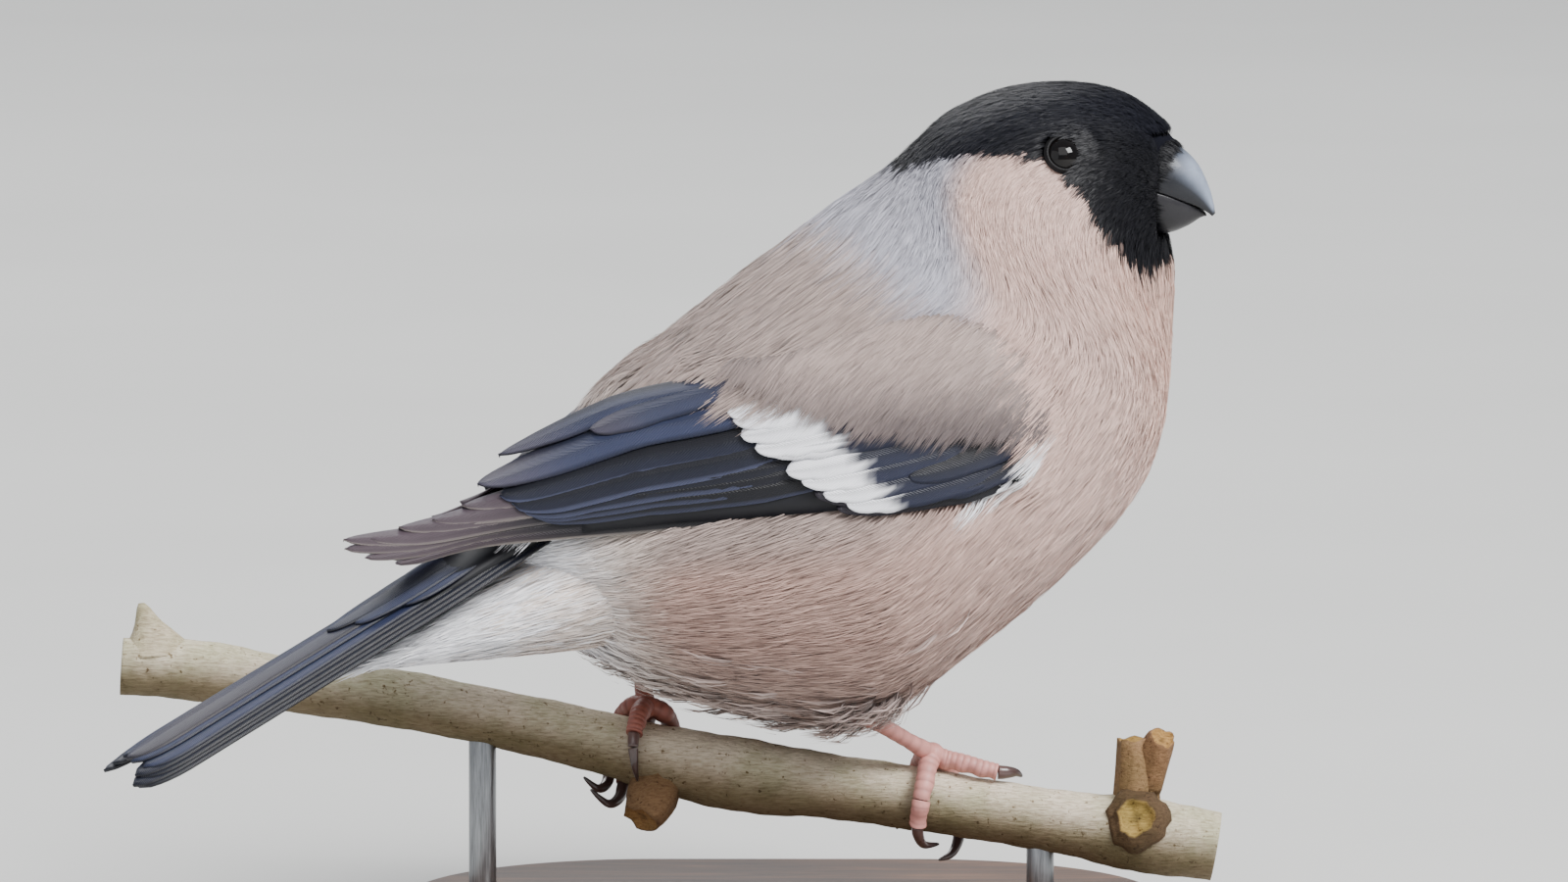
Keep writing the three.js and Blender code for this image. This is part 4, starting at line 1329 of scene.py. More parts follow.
@dataclass
class BodyCoat:
    """The coat of the body, neck and head."""

    form: BodyForm
    marks: Markings
    coat: Coat
    eyes: list[tuple[Array, float]]
    cover: float = 10.2  # how many tufts lie over each spot
    cells: tuple[int, int] = (560, 420)
    # skin that the bill covers, from this x, within this y, between these z
    under_bill: tuple[float, ...] = (38.8, 4.2, 83.9, 95.4)
    # skin that the tail's foot covers, up to this rib, within this y, between these z
    under_tail: tuple[float, ...] = (0.5, 6.0, 50.0, 56.5)
    # rib, length and width of a tuft there
    sizes: Rows = Rows((
        (0, 7.5, 0.72), (2, 8.0, 0.72), (4, 7.6, 0.72), (6, 6.6, 0.7), (7.5, 5.4, 0.67), (9, 4.2, 0.6),
        (10.5, 3.2, 0.54), (12, 2.4, 0.48), (13.5, 1.9, 0.44), (15, 1.5, 0.4),
    ))

    def density(self, u: Array, v: Array, p: Array) -> Array:
        """How closely the tufts stand.

        Args:
            u: Places along the body.
            v: Angles round it.
            p: The points there.

        Returns:
            Tufts for each square millimetre.
        """
        length, width = self.size_at(u)
        want = self.cover / (length * width)
        for wing in self.form.wings:
            want = want * (1 - wing.covers(p))
        for centre, radius in self.eyes:
            want = want * (np.linalg.norm(p - centre, axis=-1) > radius)
        beside, z = np.abs(p[..., 1]), p[..., 2]
        start, half, low, high = self.under_bill
        bill = (p[..., 0] > start) & (beside < half) & (z > low) & (z < high)
        end, half, low, high = self.under_tail
        tail = (u < end) & (beside < half) & (z > low) & (z < high)
        return want * ~bill * ~tail

    def size_at(self, u: Array) -> tuple[Array, Array]:
        """Length and width of the tufts at ribs u."""
        rows = np.array(self.sizes.table)
        return np.interp(u, rows[:, 0], rows[:, 1]), np.interp(u, rows[:, 0], rows[:, 2])

    def tufts(self) -> Tufts:
        """Spreads the tufts of the whole body.

        Returns:
            The tufts.
        """
        rng = self.coat.rng
        span = (0.02, self.form.last - 0.1)
        u, v = scatter(self.form, span, (-math.pi, math.pi), self.cells, self.density, rng)
        n = len(u)
        length, width = self.size_at(u)
        turn = signed_turn(v)
        beside = np.sin(np.abs(turn))
        sweep = 0.25 * beside * (1 - soft(u, 4, 7)) + 0.15 * beside * soft(u, 9, 11)
        down = (sweep + 0.05 * rng.standard_normal(n)) * np.sign(turn)
        jitter = 1 + 0.16 * rng.standard_normal(n)
        return Tufts(
            u=u, v=v, back=np.ones(n), down=down,
            length=length * np.clip(jitter, 0.6, 1.5), width=width * (0.85 + 0.3 * rng.random(n)),
            level=0.02 + 0.22 * rng.random(n), depth=np.interp(u, [0, 7, 10, 13], [1.25, 1.1, 0.8, 0.55]),
            colour=self.marks.colour(u + 0.05 * rng.standard_normal(n), v),
        )

    def wisps(self) -> Tufts:
        """Loose long feathers that hang from the belly, and a tuft where the right shank leaves it.

        Returns:
            The tufts.
        """
        rng = self.coat.rng
        n, near = 460, 90
        u = np.concatenate([rng.uniform(0.9, 4.8, n), rng.uniform(3.75, 4.3, near)])
        v = math.pi + np.concatenate([0.33 * rng.standard_normal(n), rng.uniform(0.3, 0.6, near)])
        stand = np.concatenate([0.2 + 1.5 * rng.random(n) ** 2, 0.9 + 2.0 * rng.random(near)])
        length = np.concatenate([9.0 * (0.8 + 0.4 * rng.random(n)), 4.8 * (0.8 + 0.4 * rng.random(near))])
        return Tufts(
            u=u, v=v, back=np.ones(n + near), down=0.12 * rng.standard_normal(n + near), length=length,
            width=np.full(n + near, 0.9), level=stand, depth=stand + 0.8,
            colour=blend(self.marks.colour(u, v), rgb(self.marks.vent), 0.15 + 0 * u),
        )

    def build(self, plumage: Material, cap: Material) -> None:
        """Grows and dresses the coat.

        Args:
            plumage: Material of the pale feathers.
            cap: Material of the black ones.
        """
        tufts = self.tufts()
        black = self.marks.is_cap(tufts.u, tufts.v)
        self.coat.grow("coat_cap", self.form, tufts.pick(black), cap, "cap", 5, 0.12)
        pale = tufts.pick(~black)
        left = pale.v % TURN < math.pi
        self.coat.grow("coat_right", self.form, pale.pick(~left), plumage)
        self.coat.grow("coat_left", self.form, pale.pick(left), plumage)
        self.coat.grow("coat_wisps", self.form, self.wisps(), plumage, barbs=4)


@dataclass
class Skin:
    """One skin for torso, neck and head, under the coat."""

    form: BodyForm
    marks: Markings
    inset: Rows = Rows(((0, 1.1), (7, 1.1), (9, 0.8), (12, 0.6), (15, 0.5)))
    # painted shade: the skin under the coat takes the coat's colours darkened to this share
    shade: float = 0.75  # of the coat's colours
    rows: int = 150
    sides: int = 96

    def build(self, finish: Material) -> Piece:
        """Builds and dresses it.

        Args:
            finish: Its material.

        Returns:
            The piece.
        """
        along = np.linspace(0, self.form.last, self.rows)
        u, v = np.meshgrid(along, round_line(self.sides), indexing="ij")
        p, _, _, out = self.form.frame(u, v)
        p = p - out * self.inset.line(u)[..., None]
        for wing in self.form.wings:
            p = p - np.array([0, 1, 0]) * (wing.press(p) * np.sign(p[..., 1]))[..., None]
        # the skin is painted in the coat's colours darkened, as painted shade under the tufts
        piece = wrap("skin", self.form.world(p), self.marks.colour(u, v) * self.shade)
        return dress(piece, finish, "plumage", "torso", "neck", "head")


@dataclass
class Undertail:
    """The white feathers under the tail."""

    form: VentForm
    coat: Coat
    white: str = WHITE
    cream: str = "dccfc6"
    density: tuple[float, float] = (1.3, 0.5)  # of the tufts, in sight and against the tail

    def build(self, skin: Material, plumage: Material) -> None:
        """Builds the core and grows the tufts.

        Args:
            skin: The core's material.
            plumage: The tufts' material.
        """
        u, v = np.meshgrid(np.linspace(0, 1, 26), round_line(40), indexing="ij")
        p, _, _, out = self.form.frame(u, v)
        # the core is painted in the tufts' white darkened to 0.7, as painted shade under them
        core = wrap("skin_undertail", self.form.world(p - out * 1.0), rgb(self.white) * 0.7 + 0 * p)
        dress(core, skin, "plumage")
        rng = self.coat.rng
        u, v = scatter(self.form, (0.0, 0.97), (0, TURN), (120, 140),
                       lambda u, v, p: np.where(np.sin(v) < 0.75, *self.density) + 0 * u, rng)
        n = len(u)
        tufts = Tufts(
            u=u, v=v, back=-np.ones(n), down=0.1 * rng.standard_normal(n),
            length=(9.5 - 3.0 * u) * (0.85 + 0.3 * rng.random(n)), width=1.0 + 0.4 * rng.random(n),
            level=-0.1 + 0.2 * rng.random(n), depth=np.full(n, 0.9),
            colour=blend(even(self.cream, n), rgb(self.white),
                         soft(u + 0.15 * rng.standard_normal(n), 0.1, 0.5)),
        )
        self.coat.grow("coat_undertail", self.form, tufts, plumage)


# Vanes


def vane_outline(t: Array, point: float) -> Array:
    """The outline of a vane, narrow at the quill and round at the tip.

    Args:
        t: Places along it.
        point: The share of its length over which it rounds off.

    Returns:
        Half widths, as shares of the widest.
    """
    quill = 0.6 + 0.4 * soft(t, 0, 0.35)
    tip = np.sqrt(np.clip(1 - np.clip((t - 1 + point) / point, 0, 1) ** 2, 0, 1))
    return np.maximum(quill * tip, 0.03)


def vane_line(count: int, crowd: float) -> Array:
    """Places along a vane from 0 to 1, of which a share crowds towards the tip."""
    return np.sin(np.linspace(0, math.pi / 2, count)) * crowd + np.linspace(0, 1 - crowd, count)


def ridge(across: Array, middle: float, breadth: float) -> Array:
    """From 0 to 1, how near places across a vane lie to its shaft."""
    return np.exp(-(((across - middle) / breadth) ** 2))


def both_faces(outer: Array) -> Array:
    """Values of a vane's outer face, and the same for its inner face in the order round it."""
    return np.concatenate([outer, outer[:, ::-1]], 1)


Pair = tuple[float, float]


class Tier(Enum):
    """The tiers of a folded wing."""

    PRIMARIES = "primaries"
    SECONDARIES = "secondaries"
    TERTIALS = "tertials"
    PRIMARY_COVERTS = "primary_coverts"
    GREATER_COVERTS = "greater_coverts"
    ALULA = "alula"


@dataclass(frozen=True)
class TierSizes:
    """One tier, each pair of values for its innermost feather and its outermost."""

    tier: Tier
    count: int
    root: tuple[Pair, Pair]  # x and z
    tip: tuple[Pair, Pair]
    width: Pair
    level: Pair  # from the wing's surface
    swell: float = 0.0  # how much further back the tips in the middle of the tier reach
    late: float = 1.0  # above 1, the longest lies further out
    bend: float = 1.0  # above 1, the feathers curve down towards their tips
    point: float = 0.3  # the share of its length over which a vane rounds off
    shaft: float = -0.25  # where the shaft lies across it


@dataclass
class Wing:
    """One folded wing: plates, tiers of vanes and the small feathers of its shoulder."""

    form: WingForm
    coat: Coat
    along: int = 26
    across: int = 9
    tiers: tuple[TierSizes, ...] = (
        TierSizes(Tier.PRIMARIES, 8, ((-8, 61.4), (2, 58.8)), ((-48.4, 55.8), (-56.6, 49.0)), (4.6, 3.4),
                  (-0.6, -1.1), swell=8.2, late=1.36, bend=2.2, point=0.22, shaft=-0.45),
        TierSizes(Tier.SECONDARIES, 6, ((-9, 66.0), (-5, 60.4)), ((-44.2, 56.8), (-41.0, 54.6)), (5.4, 4.6),
                  (-0.2, -0.6), point=0.16),
        TierSizes(Tier.TERTIALS, 3, ((-9, 69.0), (-12, 72.0)), ((-45.6, 57.6), (-33.4, 63.9)), (6.2, 5.6),
                  (0.1, 0.4), swell=2.2, point=0.2),
        TierSizes(Tier.PRIMARY_COVERTS, 3, ((12, 61.0), (15, 58.8)), ((-12.0, 57.4), (-9.0, 55.8)),
                  (4.2, 3.2), (-0.1, -0.4)),
        TierSizes(Tier.GREATER_COVERTS, 9, ((-3.5, 70.0), (14.5, 61.0)), ((-19.8, 66.3), (-8.4, 56.2)),
                  (5.0, 4.2), (0.6, 0.2), swell=2.6),
        TierSizes(Tier.ALULA, 2, ((16.0, 63.5), (16.5, 61.2)), ((-1.0, 58.8), (3.0, 57.0)), (3.6, 3.0),
                  (0.4, 0.1)),
    )
    # inner and outer level, how far it is drawn in from the edges, and the row of edges where it ends
    plates: tuple[tuple[float, ...], ...] = ((-2.3, -1.0, 0.8, 9), (-1.8, -0.6, 1.2, 4.2))
    vane_thick: float = 0.2
    vane_shaft: tuple[float, float] = (0.07, 0.1)  # breadth and height
    seed: int = 17
    # x and z of the lower edge of the shoulder's small feathers
    fringe: Rows = Rows((
        (-26, 71.0), (-22, 69.6), (-19, 68.3), (-14, 65.8), (-8, 63.7), (-4, 62.2), (3, 61.5), (8, 61.5),
        (13, 60.9), (20, 61.5),
    ))
    blue: str = "191d31"
    dark: str = "0c0c12"
    brown: str = "4a3f45"
    white: str = "efeff4"
    lesser: str = "625857"
    scapular: str = "a7958e"

    def vane_tint(self, tier: Tier, rank: float, t: Array, across: Array) -> Array:
        """Colours over a vane.

        Args:
            tier: Its tier.
            rank: Its place in the tier, from 0 innermost to 1.
            t: Places along it.
            across: Places across it, -1 at the lower edge.

        Returns:
            Colours.
        """
        base = rgb(self.dark) + 0 * t[..., None]
        rim = soft(-across, 0.72, 0.98)
        if tier is Tier.PRIMARIES:
            c = blend(base, rgb(self.brown), soft(t, 0.62, 0.9))
            c = blend(c, rgb("2a2b38"), rim * (1 - soft(t, 0.6, 0.8)))
            pale = 0.6 * soft(t, 0.55, 0.85) + 0.9 * (rank > 0.99)
            return blend(c, rgb("a39a93"), np.clip(rim * pale, 0, 1))
        if tier is Tier.SECONDARIES:
            gloss = blend(base, rgb(self.blue), soft(-across, -0.2, 0.8) * (0.8 - 0.75 * rank))
            return blend(gloss, rgb("5a5f7c"), soft(-across, 0.84, 0.97) * (0.95 - 0.4 * rank))
        if tier is Tier.TERTIALS:
            gloss = blend(base, rgb("2a304a"), soft(-across, -0.9, 0.3) * (0.95 - 0.1 * rank))
            gloss = blend(gloss, rgb("4f4850"), 0.6 * soft(t, 0.7, 1.0))
            return blend(gloss, rgb(self.dark), 0.6 * soft(-across, 0.8, 1.0))
        if tier is Tier.GREATER_COVERTS:
            start = 0.44 + 0.26 * rank + 0.035 * np.sin(6 * across + 23 * rank) + 0.02 * np.sin(17 * across)
            gloss = blend(base, rgb(self.blue), soft(-across, -0.6, 0.6))
            return blend(gloss, rgb(self.white), soft(t, start, start + 0.09))
        if tier is Tier.ALULA:
            return blend(base, rgb(self.blue), soft(-across, -0.3, 0.8) * 0.8)
        return blend(base, rgb("2c2830"), soft(t, 0.4, 0.9))

    def add_vane(self, store: MeshStore, sizes: TierSizes, rank: float, rng: np.random.Generator) -> None:
        """Adds one feather, a thin closed vane with a raised shaft.

        Args:
            store: Where it goes.
            sizes: Its tier.
            rank: Its place in the tier, from 0 innermost to 1.
            rng: The random source.
        """
        def between(pair: tuple) -> float:
            """The tier's value at this feather."""
            return pair[0] + (pair[1] - pair[0]) * rank

        frayed = sizes.tier is Tier.GREATER_COVERTS
        root = [between(ends) for ends in zip(*sizes.root)]
        tip = [between(ends) + 0.25 * rng.standard_normal() for ends in zip(*sizes.tip)]
        tip[0] -= sizes.swell * math.sin(math.pi * rank**sizes.late)
        first, last = float(self.form.angle(root[0], root[1])), float(self.form.angle(tip[0], tip[1]))
        tt, cc = np.meshgrid(vane_line(self.along, 0.75), np.linspace(-1, 1, self.across), indexing="ij")
        x = root[0] + (tip[0] - root[0]) * tt
        angle = first + (last - first) * tt**sizes.bend
        _, _, dv, _ = self.form.frame(x, angle)
        metric = np.linalg.norm(dv, axis=-1)
        lie = unit(np.stack([(tip[0] - root[0]) + 0 * metric, (last - first) * metric], -1))
        half = between(sizes.width) / 2 * vane_outline(tt, sizes.point)
        fray = 1 - 0.05 * np.abs(np.sin(tt * (9 + 6 * rank) + 7 * rank)) ** 6 * (np.abs(cc) > 0.9)
        if frayed:
            tears = np.abs(np.sin(21 * tt + 11 * rank + 2 * cc)) ** 7
            fray = fray - 0.13 * tears * soft(np.abs(cc), 0.5, 0.9) * soft(tt, 0.5, 0.8)
        over = cc * half * fray
        angle = np.maximum(angle + over * lie[..., 0] / metric, 0.05)
        x = x + over * lie[..., 1]
        breadth, height = self.vane_shaft
        shaft = ridge(cc, sizes.shaft, breadth) * height * (1 - 0.7 * tt)
        camber = (0.07 if frayed else 0.15) * (1 - cc**2) * (1 - 0.5 * tt)
        tuck = 0.45 * np.clip(cc, 0, 1) + 0.6 * (1 - soft(tt, 0.02, 0.3))
        p, _, _, out = self.form.frame(x, angle)
        outer = p + out * (between(sizes.level) - tuck + camber - 0.16 + shaft)[..., None]
        ring = np.concatenate([outer, (outer - out * self.vane_thick)[:, ::-1]], 1)
        shade = 1 - 0.25 * ridge(cc, sizes.shaft, 0.06)
        colour = self.vane_tint(sizes.tier, rank, tt, cc) * shade[..., None]
        colours = both_faces(colour) * (1 + 0.05 * rng.standard_normal())
        length = math.hypot(tip[0] - root[0], tip[1] - root[1])
        places = both_faces(np.stack([tt * length + 60 * rank, over - sizes.shaft * half], -1))
        add_shell(store, self.form.world(ring), np.clip(colours, 0, 1), places, self.form.side is Side.LEFT)

    def add_plate(self, store: MeshStore, inner: float, outer: float, margin: float, rows: float) -> None:
        """Adds a plate of the wing.

        Args:
            store: Where it goes.
            inner: Level of its inner face.
            outer: Level of its outer face.
            margin: How far it is drawn in from the wing's edges.
            rows: The row of edges where it ends.
        """
        steps, across = 24, 8
        r = self.form.edges.at(np.linspace(0, rows, steps + 1))
        x = r[:, 0].copy()
        x[0] -= margin
        x[-1] += margin
        k = np.linspace(0, 1, across + 1)
        z = (r[:, 1] + margin)[:, None] * (1 - k) + (r[:, 2] - margin)[:, None] * k
        xx = x[:, None] + 0 * z
        p, _, _, out = self.form.frame(xx, self.form.angle(xx, z))
        ring = np.concatenate([p + out * outer, (p + out * inner)[:, ::-1]], 1)
        add_core(store, self.form.world(ring), self.dark, self.form.side is Side.LEFT)

    def density(self, u: Array, v: Array, p: Array) -> Array:
        """How closely the shoulder's tufts stand: only above the fringe and behind the front edge.

        Args:
            u: Places along the wing.
            v: Angles down from its top.
            p: The points there.

        Returns:
            Tufts for each square millimetre.
        """
        x, z = p[..., 0], p[..., 2]
        inside = (z - self.fringe.line(x) > 4.0) & (x < 19.0) & (z < self.form.edges.where(x)[..., 2] + 2.0)
        return 3.4 * inside

    def shoulder_tufts(self) -> Tufts:
        """The small feathers over the shoulder and the inner coverts.

        Returns:
            The tufts.
        """
        rng = self.coat.rng
        u, v = scatter(self.form, (-23, 19.5), (0.35, 1.75), (300, 240), self.density, rng)
        n = len(u)
        p = self.form.point(u, v)
        high = p[:, 2] - self.fringe.line(p[:, 0])
        steep = np.interp(high, [0, 3, 12], [1.0, 1.05, 0.4])
        steep = steep * np.interp(u, [-22, -12, 4, 18], [0.55, 0.9, 1.0, 0.8])
        shade = soft(high, 4, 13) + 0.4 * soft(-u, -2, 12)
        colour = blend(even(self.lesser, n), rgb(self.scapular), np.clip(shade, 0, 1))
        return Tufts(
            u=u, v=v, back=np.ones(n), down=steep + 0.1 * rng.standard_normal(n),
            length=5.4 * (0.8 + 0.4 * rng.random(n)), width=0.66 * (0.85 + 0.3 * rng.random(n)),
            level=0.85 + 0.25 * rng.random(n), depth=np.full(n, 0.75), colour=colour,
        )

    def build(self, flight: Material, plumage: Material) -> None:
        """Builds and dresses the wing.

        Args:
            flight: The vanes' material.
            plumage: The small feathers' material.
        """
        side = self.form.side.name.lower()
        store = MeshStore()
        rng = np.random.default_rng(self.seed)
        for plate in self.plates:
            self.add_plate(store, *plate)
        for sizes in self.tiers:
            for i in range(sizes.count):
                self.add_vane(store, sizes, i / (sizes.count - 1), rng)
        dress(store.make(f"wing_{side}_feathers", "Vane"), flight, "flight", f"wing_{side}")
        self.coat.grow(f"coat_shoulder_{side}", self.form, self.shoulder_tufts(), plumage)


def add_shell(store: MeshStore, rings: Array, colours: Array, places: Array, flip: bool) -> None:
    """Adds a closed thin shell from rings whose first half is the outer face.

    Args:
        store: Where it goes.
        rings: Rings by points by three, in metres.
        colours: Colours of the same shape.
        places: Map places, rings by points by two.
        flip: True to turn the faces round, after a mirror.
    """
    count, sides = rings.shape[:2]
    i, j = np.meshgrid(np.arange(count - 1), np.arange(sides), indexing="ij")
    a, b = i * sides + j, i * sides + (j + 1) % sides
    faces = np.stack([a, b, b + sides, a + sides], -1).reshape(-1, 4)
    half = sides // 2
    k = np.arange(half - 1)
    front = np.stack([k, sides - 1 - k, sides - 2 - k, k + 1], -1)
    end = front[:, ::-1] + (count - 1) * sides
    faces = np.concatenate([faces, front, end])
    store.add(rings, [faces if flip else faces[:, ::-1]], colours, places)


def add_core(store: MeshStore, rings: Array, code: str, flip: bool = False) -> None:
    """Adds a closed plain form under vanes, in one colour and with no map of its own."""
    add_shell(store, rings, rgb(code) + 0 * rings, np.zeros(rings.shape[:2] + (2,)), flip)


@dataclass
class Tail:
    """The tail, built along its own axes: x back along the quills, y to the bird's right, z up."""

    pose: Pose
    root: tuple[float, float, float] = (-33.2, 0.0, 55.7)
    dip: float = 28.0
    roll: float = 3.0
    pairs: int = 6
    length: tuple[float, float] = (61.2, 63.8)
    root_spread: tuple[float, float] = (0.5, 0.85)
    spread: tuple[float, ...] = (0.6, 3.0, 3.35, 4.1, 4.4, 4.9)
    step_down: float = 0.34
    fine_step: float = 0.2
    width: float = 5.6
    covert_count: int = 5
    covert_length: tuple[float, float] = (22.0, 33.0)
    along: int = 30
    across: int = 9
    thick: float = 0.22
    shaft: float = 0.2  # where it lies across a vane
    arch: float = 0.012  # how the whole tail bows down to its sides
    # x, half width and half height of the core between the feathers' feet
    core: Rows = Rows(((0, 6.2, 3.6), (8, 6.0, 2.9), (18, 5.4, 1.5), (27, 4.6, 0.55)))
    core_level: float = -0.9
    blue: str = "2a3049"
    dark: str = "0c0c11"
    worn: str = "3a3436"

    def placed(self, p: Array) -> Array:
        """Sets points of the tail on the bird.

        Args:
            p: Points along the tail's own axes, in millimetres.

        Returns:
            The points in the stand's frame, in metres.
        """
        dip, roll = math.radians(self.dip), math.radians(-self.roll)
        x, y, z = p[..., 0], p[..., 1], p[..., 2]
        # the roll about x, then the dip about y, then half a turn about z
        y, z = y * math.cos(roll) - z * math.sin(roll), y * math.sin(roll) + z * math.cos(roll)
        x, z = x * math.cos(dip) + z * math.sin(dip), -x * math.sin(dip) + z * math.cos(dip)
        x, y = -x, -y
        return self.pose.placed(np.stack([x, y, z], -1) + np.array(self.root))

    def add_vane(self, store: MeshStore, side: int, rank: int, length: float, level: float, tip_y: float,
                 lower: bool) -> None:
        """Adds one feather.

        Args:
            store: Where it goes.
            side: 1 for the bird's right, -1 for its left.
            rank: Its place from the middle.
            length: Its length.
            level: Height of its upper face.
            tip_y: Sideways place of its tip.
            lower: True for a tail feather, False for a covert.
        """
        root_y = side * (self.root_spread[0] + self.root_spread[1] * rank)
        tt, cc = np.meshgrid(vane_line(self.along, 0.6), np.linspace(-1, 1, self.across), indexing="ij")
        half = self.width / 2 * vane_outline(tt, 0.10 if lower else 0.3)
        y = root_y + (side * tip_y - root_y) * tt + cc * half
        middle = self.shaft * side
        shaft = ridge(cc, middle, 0.07) * 0.12 * (1 - 0.7 * tt)
        z = level - self.arch * y * y - 0.14 * cc**2 + shaft
        outer = np.stack([tt * length, y, z], -1)
        ring = np.concatenate([outer, (outer - np.array([0, 0, self.thick]))[:, ::-1]], 1)
        glossy = (0.25 + 0.75 * soft(side * cc, -0.3, 0.7)) * (1.0 if rank < 2 else 0.15)
        colour = blend(rgb(self.dark) + 0 * outer, rgb(self.blue), glossy)
        colour = blend(colour, rgb(self.dark), 0.8 * soft(np.abs(cc), 0.9, 1.0))
        colour = colour * (1 - 0.3 * ridge(cc, middle, 0.06))[..., None]
        if side < 0 and rank == 0 and lower:
            colour = blend(colour, rgb(self.worn), 0.6 * soft(tt, 0.3, 0.9))
        place = np.stack([tt * length + 70 * rank, cc * half - middle * half], -1)
        add_shell(store, self.placed(ring), both_faces(colour), both_faces(place), False)

    def build(self, finish: Material) -> None:
        """Builds and dresses the tail.

        Args:
            finish: Its material.
        """
        store = MeshStore()
        for rank in range(self.pairs - 1, -1, -1):
            for side in (-1, 1):
                t = rank / (self.pairs - 1)
                level = 0.4 - self.step_down * min(rank, 1) - self.fine_step * max(rank - 1, 0)
                level -= 0.2 if side > 0 else 0
                length = self.length[0] + (self.length[1] - self.length[0]) * t - 0.9 * (rank % 2)
                self.add_vane(store, side, rank, length, level, self.spread[rank], True)
        for i in range(self.covert_count):
            t = 1 - i / (self.covert_count - 1)
            length = self.covert_length[0] + (self.covert_length[1] - self.covert_length[0]) * t
            self.add_vane(store, 1 if i % 2 else -1, 0, length, 0.75 - 0.12 * i, 0.8 + 0.85 * i, False)
        r = self.core.at(np.linspace(0, len(self.core.table) - 1, 14))
        a = round_line(28)
        y, z = r[:, 1:2] * np.cos(a), self.core_level + r[:, 2:3] * np.sin(a)
        ring = np.stack([r[:, :1] + 0 * a, y, z], -1)
        add_core(store, self.placed(ring), self.dark)
        dress(store.make("tail_feathers", "Vane"), finish, "tail", "tail")


@dataclass
class RumpForm(Form):
    """A sheet over the foot of the tail, u back along it and v across it to the bird's right."""

    tail: Tail
    level: float = 3.7
    slope: float = 0.13
    dome: float = 0.045
    handed = -1.0
    step = (0.2, 0.2)

    def point(self, u: Array, v: Array) -> Array:
        """Points on the sheet, along the tail's own axes."""
        return np.stack([u + 0 * v, v + 0 * u, self.level - self.slope * u - self.dome * v * v], -1)

    def map_place(self, u: Array, v: Array) -> Array:
        """The sheet as it lies."""
        return np.stack([np.clip(0.3 + u / 30, 0.02, 0.98), np.clip(0.5 + v / 20, 0.02, 0.98)], -1)

    def world(self, p: Array) -> Array:
        """Placed with the tail."""
        return self.tail.placed(p)


@dataclass
class Rump:
    """The white feathers that hang from the rump over the foot of the tail."""

    form: RumpForm
    coat: Coat
    count: int = 1100
    white: str = WHITE

    def build(self, plumage: Material) -> None:
        """Grows and dresses them.

        Args:
            plumage: Their material.
        """
        rng, n = self.coat.rng, self.count
        v = rng.uniform(-6.5, 7.2, n)
        u = rng.uniform(-6.0, 3.8, n) - 0.25 * np.clip(v - 4, 0, 4)
        tufts = Tufts(
            u=u, v=v, back=-np.ones(n), down=0.1 * rng.standard_normal(n) + 0.04 * v,
            length=10.0 * (0.7 + 0.45 * rng.random(n)), width=np.ones(n), level=0.2 + 0.3 * rng.random(n),
            depth=np.ones(n), colour=even(self.white, n),
        )
        self.coat.grow("coat_rump", self.form, tufts, plumage)


# Face


@dataclass
class Eye:
    """An eye with its ring of beaded lids."""

    form: BodyForm
    side: Side
    x: float = 30.0
    z: float = 94.3
    radius: float = 2.5
    sunk: float = 1.9
    bare: float = 2.98  # radius without tufts
    rim: float = 1.62  # how far the lids lie before its middle
    lid: float = 2.12
    lid_thick: float = 0.2
    lid_colour: str = "0d0c0e"
    # how much wider the second ring is, its thickness, and how far it lies behind the first
    second_lid: tuple[float, float, float] = (0.16, 0.22, 0.3)
    beads: int = 38
    # how much wider their circle is, how far it lies before the first ring, and a bead's radius
    bead: tuple[float, float, float] = (0.04, 0.17, 0.1)

    def middle(self) -> tuple[Array, Array]:
        """The eye's middle and the way it looks, before the turn of the head."""
        point, out = self.form.spot(self.x, self.z, self.side)
        return point - out * self.sunk, out

    def build(self, eye: Material, lid: Material) -> None:
        """Builds and dresses the eyeball and its lids.

        Args:
            eye: The eyeball's material.
            lid: The lids' material.
        """
        middle, look = self.middle()
        centre = self.form.world(middle)
        ahead = unit(self.form.world(middle + look) - centre)
        turn = Vector(ahead).to_track_quat("Z", "Y").to_euler()
        name = self.side.name.lower()
        deselect()
        bpy.ops.mesh.primitive_uv_sphere_add(segments=48, ring_count=28, radius=self.radius * MM,
                                             location=centre, rotation=turn)
        ball = bpy.context.object
        ball.name = ball.data.name = f"eyeball_{name}"
        bpy.ops.object.shade_smooth()
        settle(ball)
        dress(ball, eye, "eye", f"eye_{name}")
        at = centre + ahead * self.rim * MM
        wider, thick, behind = self.second_lid
        parts = []
        for radius, fine, place, sides in ((self.lid, self.lid_thick, at, 14),
                                           (self.lid + wider, thick, at - ahead * behind * MM, 10)):
            bpy.ops.mesh.primitive_torus_add(
                major_segments=56, minor_segments=sides, major_radius=radius * MM, minor_radius=fine * MM,
                location=place, rotation=turn)
            parts.append(bpy.context.object)
        across = unit(np.cross(ahead, [0.0, 0.0, 1.0]))
        up = np.cross(across, ahead)
        wider, before, fine = self.bead
        for a in round_line(self.beads):
            round_it = (across * math.cos(a) + up * math.sin(a)) * (self.lid + wider)
            spot = at + (round_it + ahead * before) * MM
            bpy.ops.mesh.primitive_ico_sphere_add(subdivisions=1, radius=fine * MM, location=spot)
            parts.append(bpy.context.object)
        for part in parts:
            settle(part)
        ring = join_pieces(f"lids_{name}", parts)
        for face in ring.data.polygons:
            face.use_smooth = True
        tint_points(ring.data, rgb(self.lid_colour))
        dress(ring, lid, "eye")


# powers that round the bill's section: less than 1 makes it fuller upwards and sideways
BILL_ROUND = (0.9, 0.8)


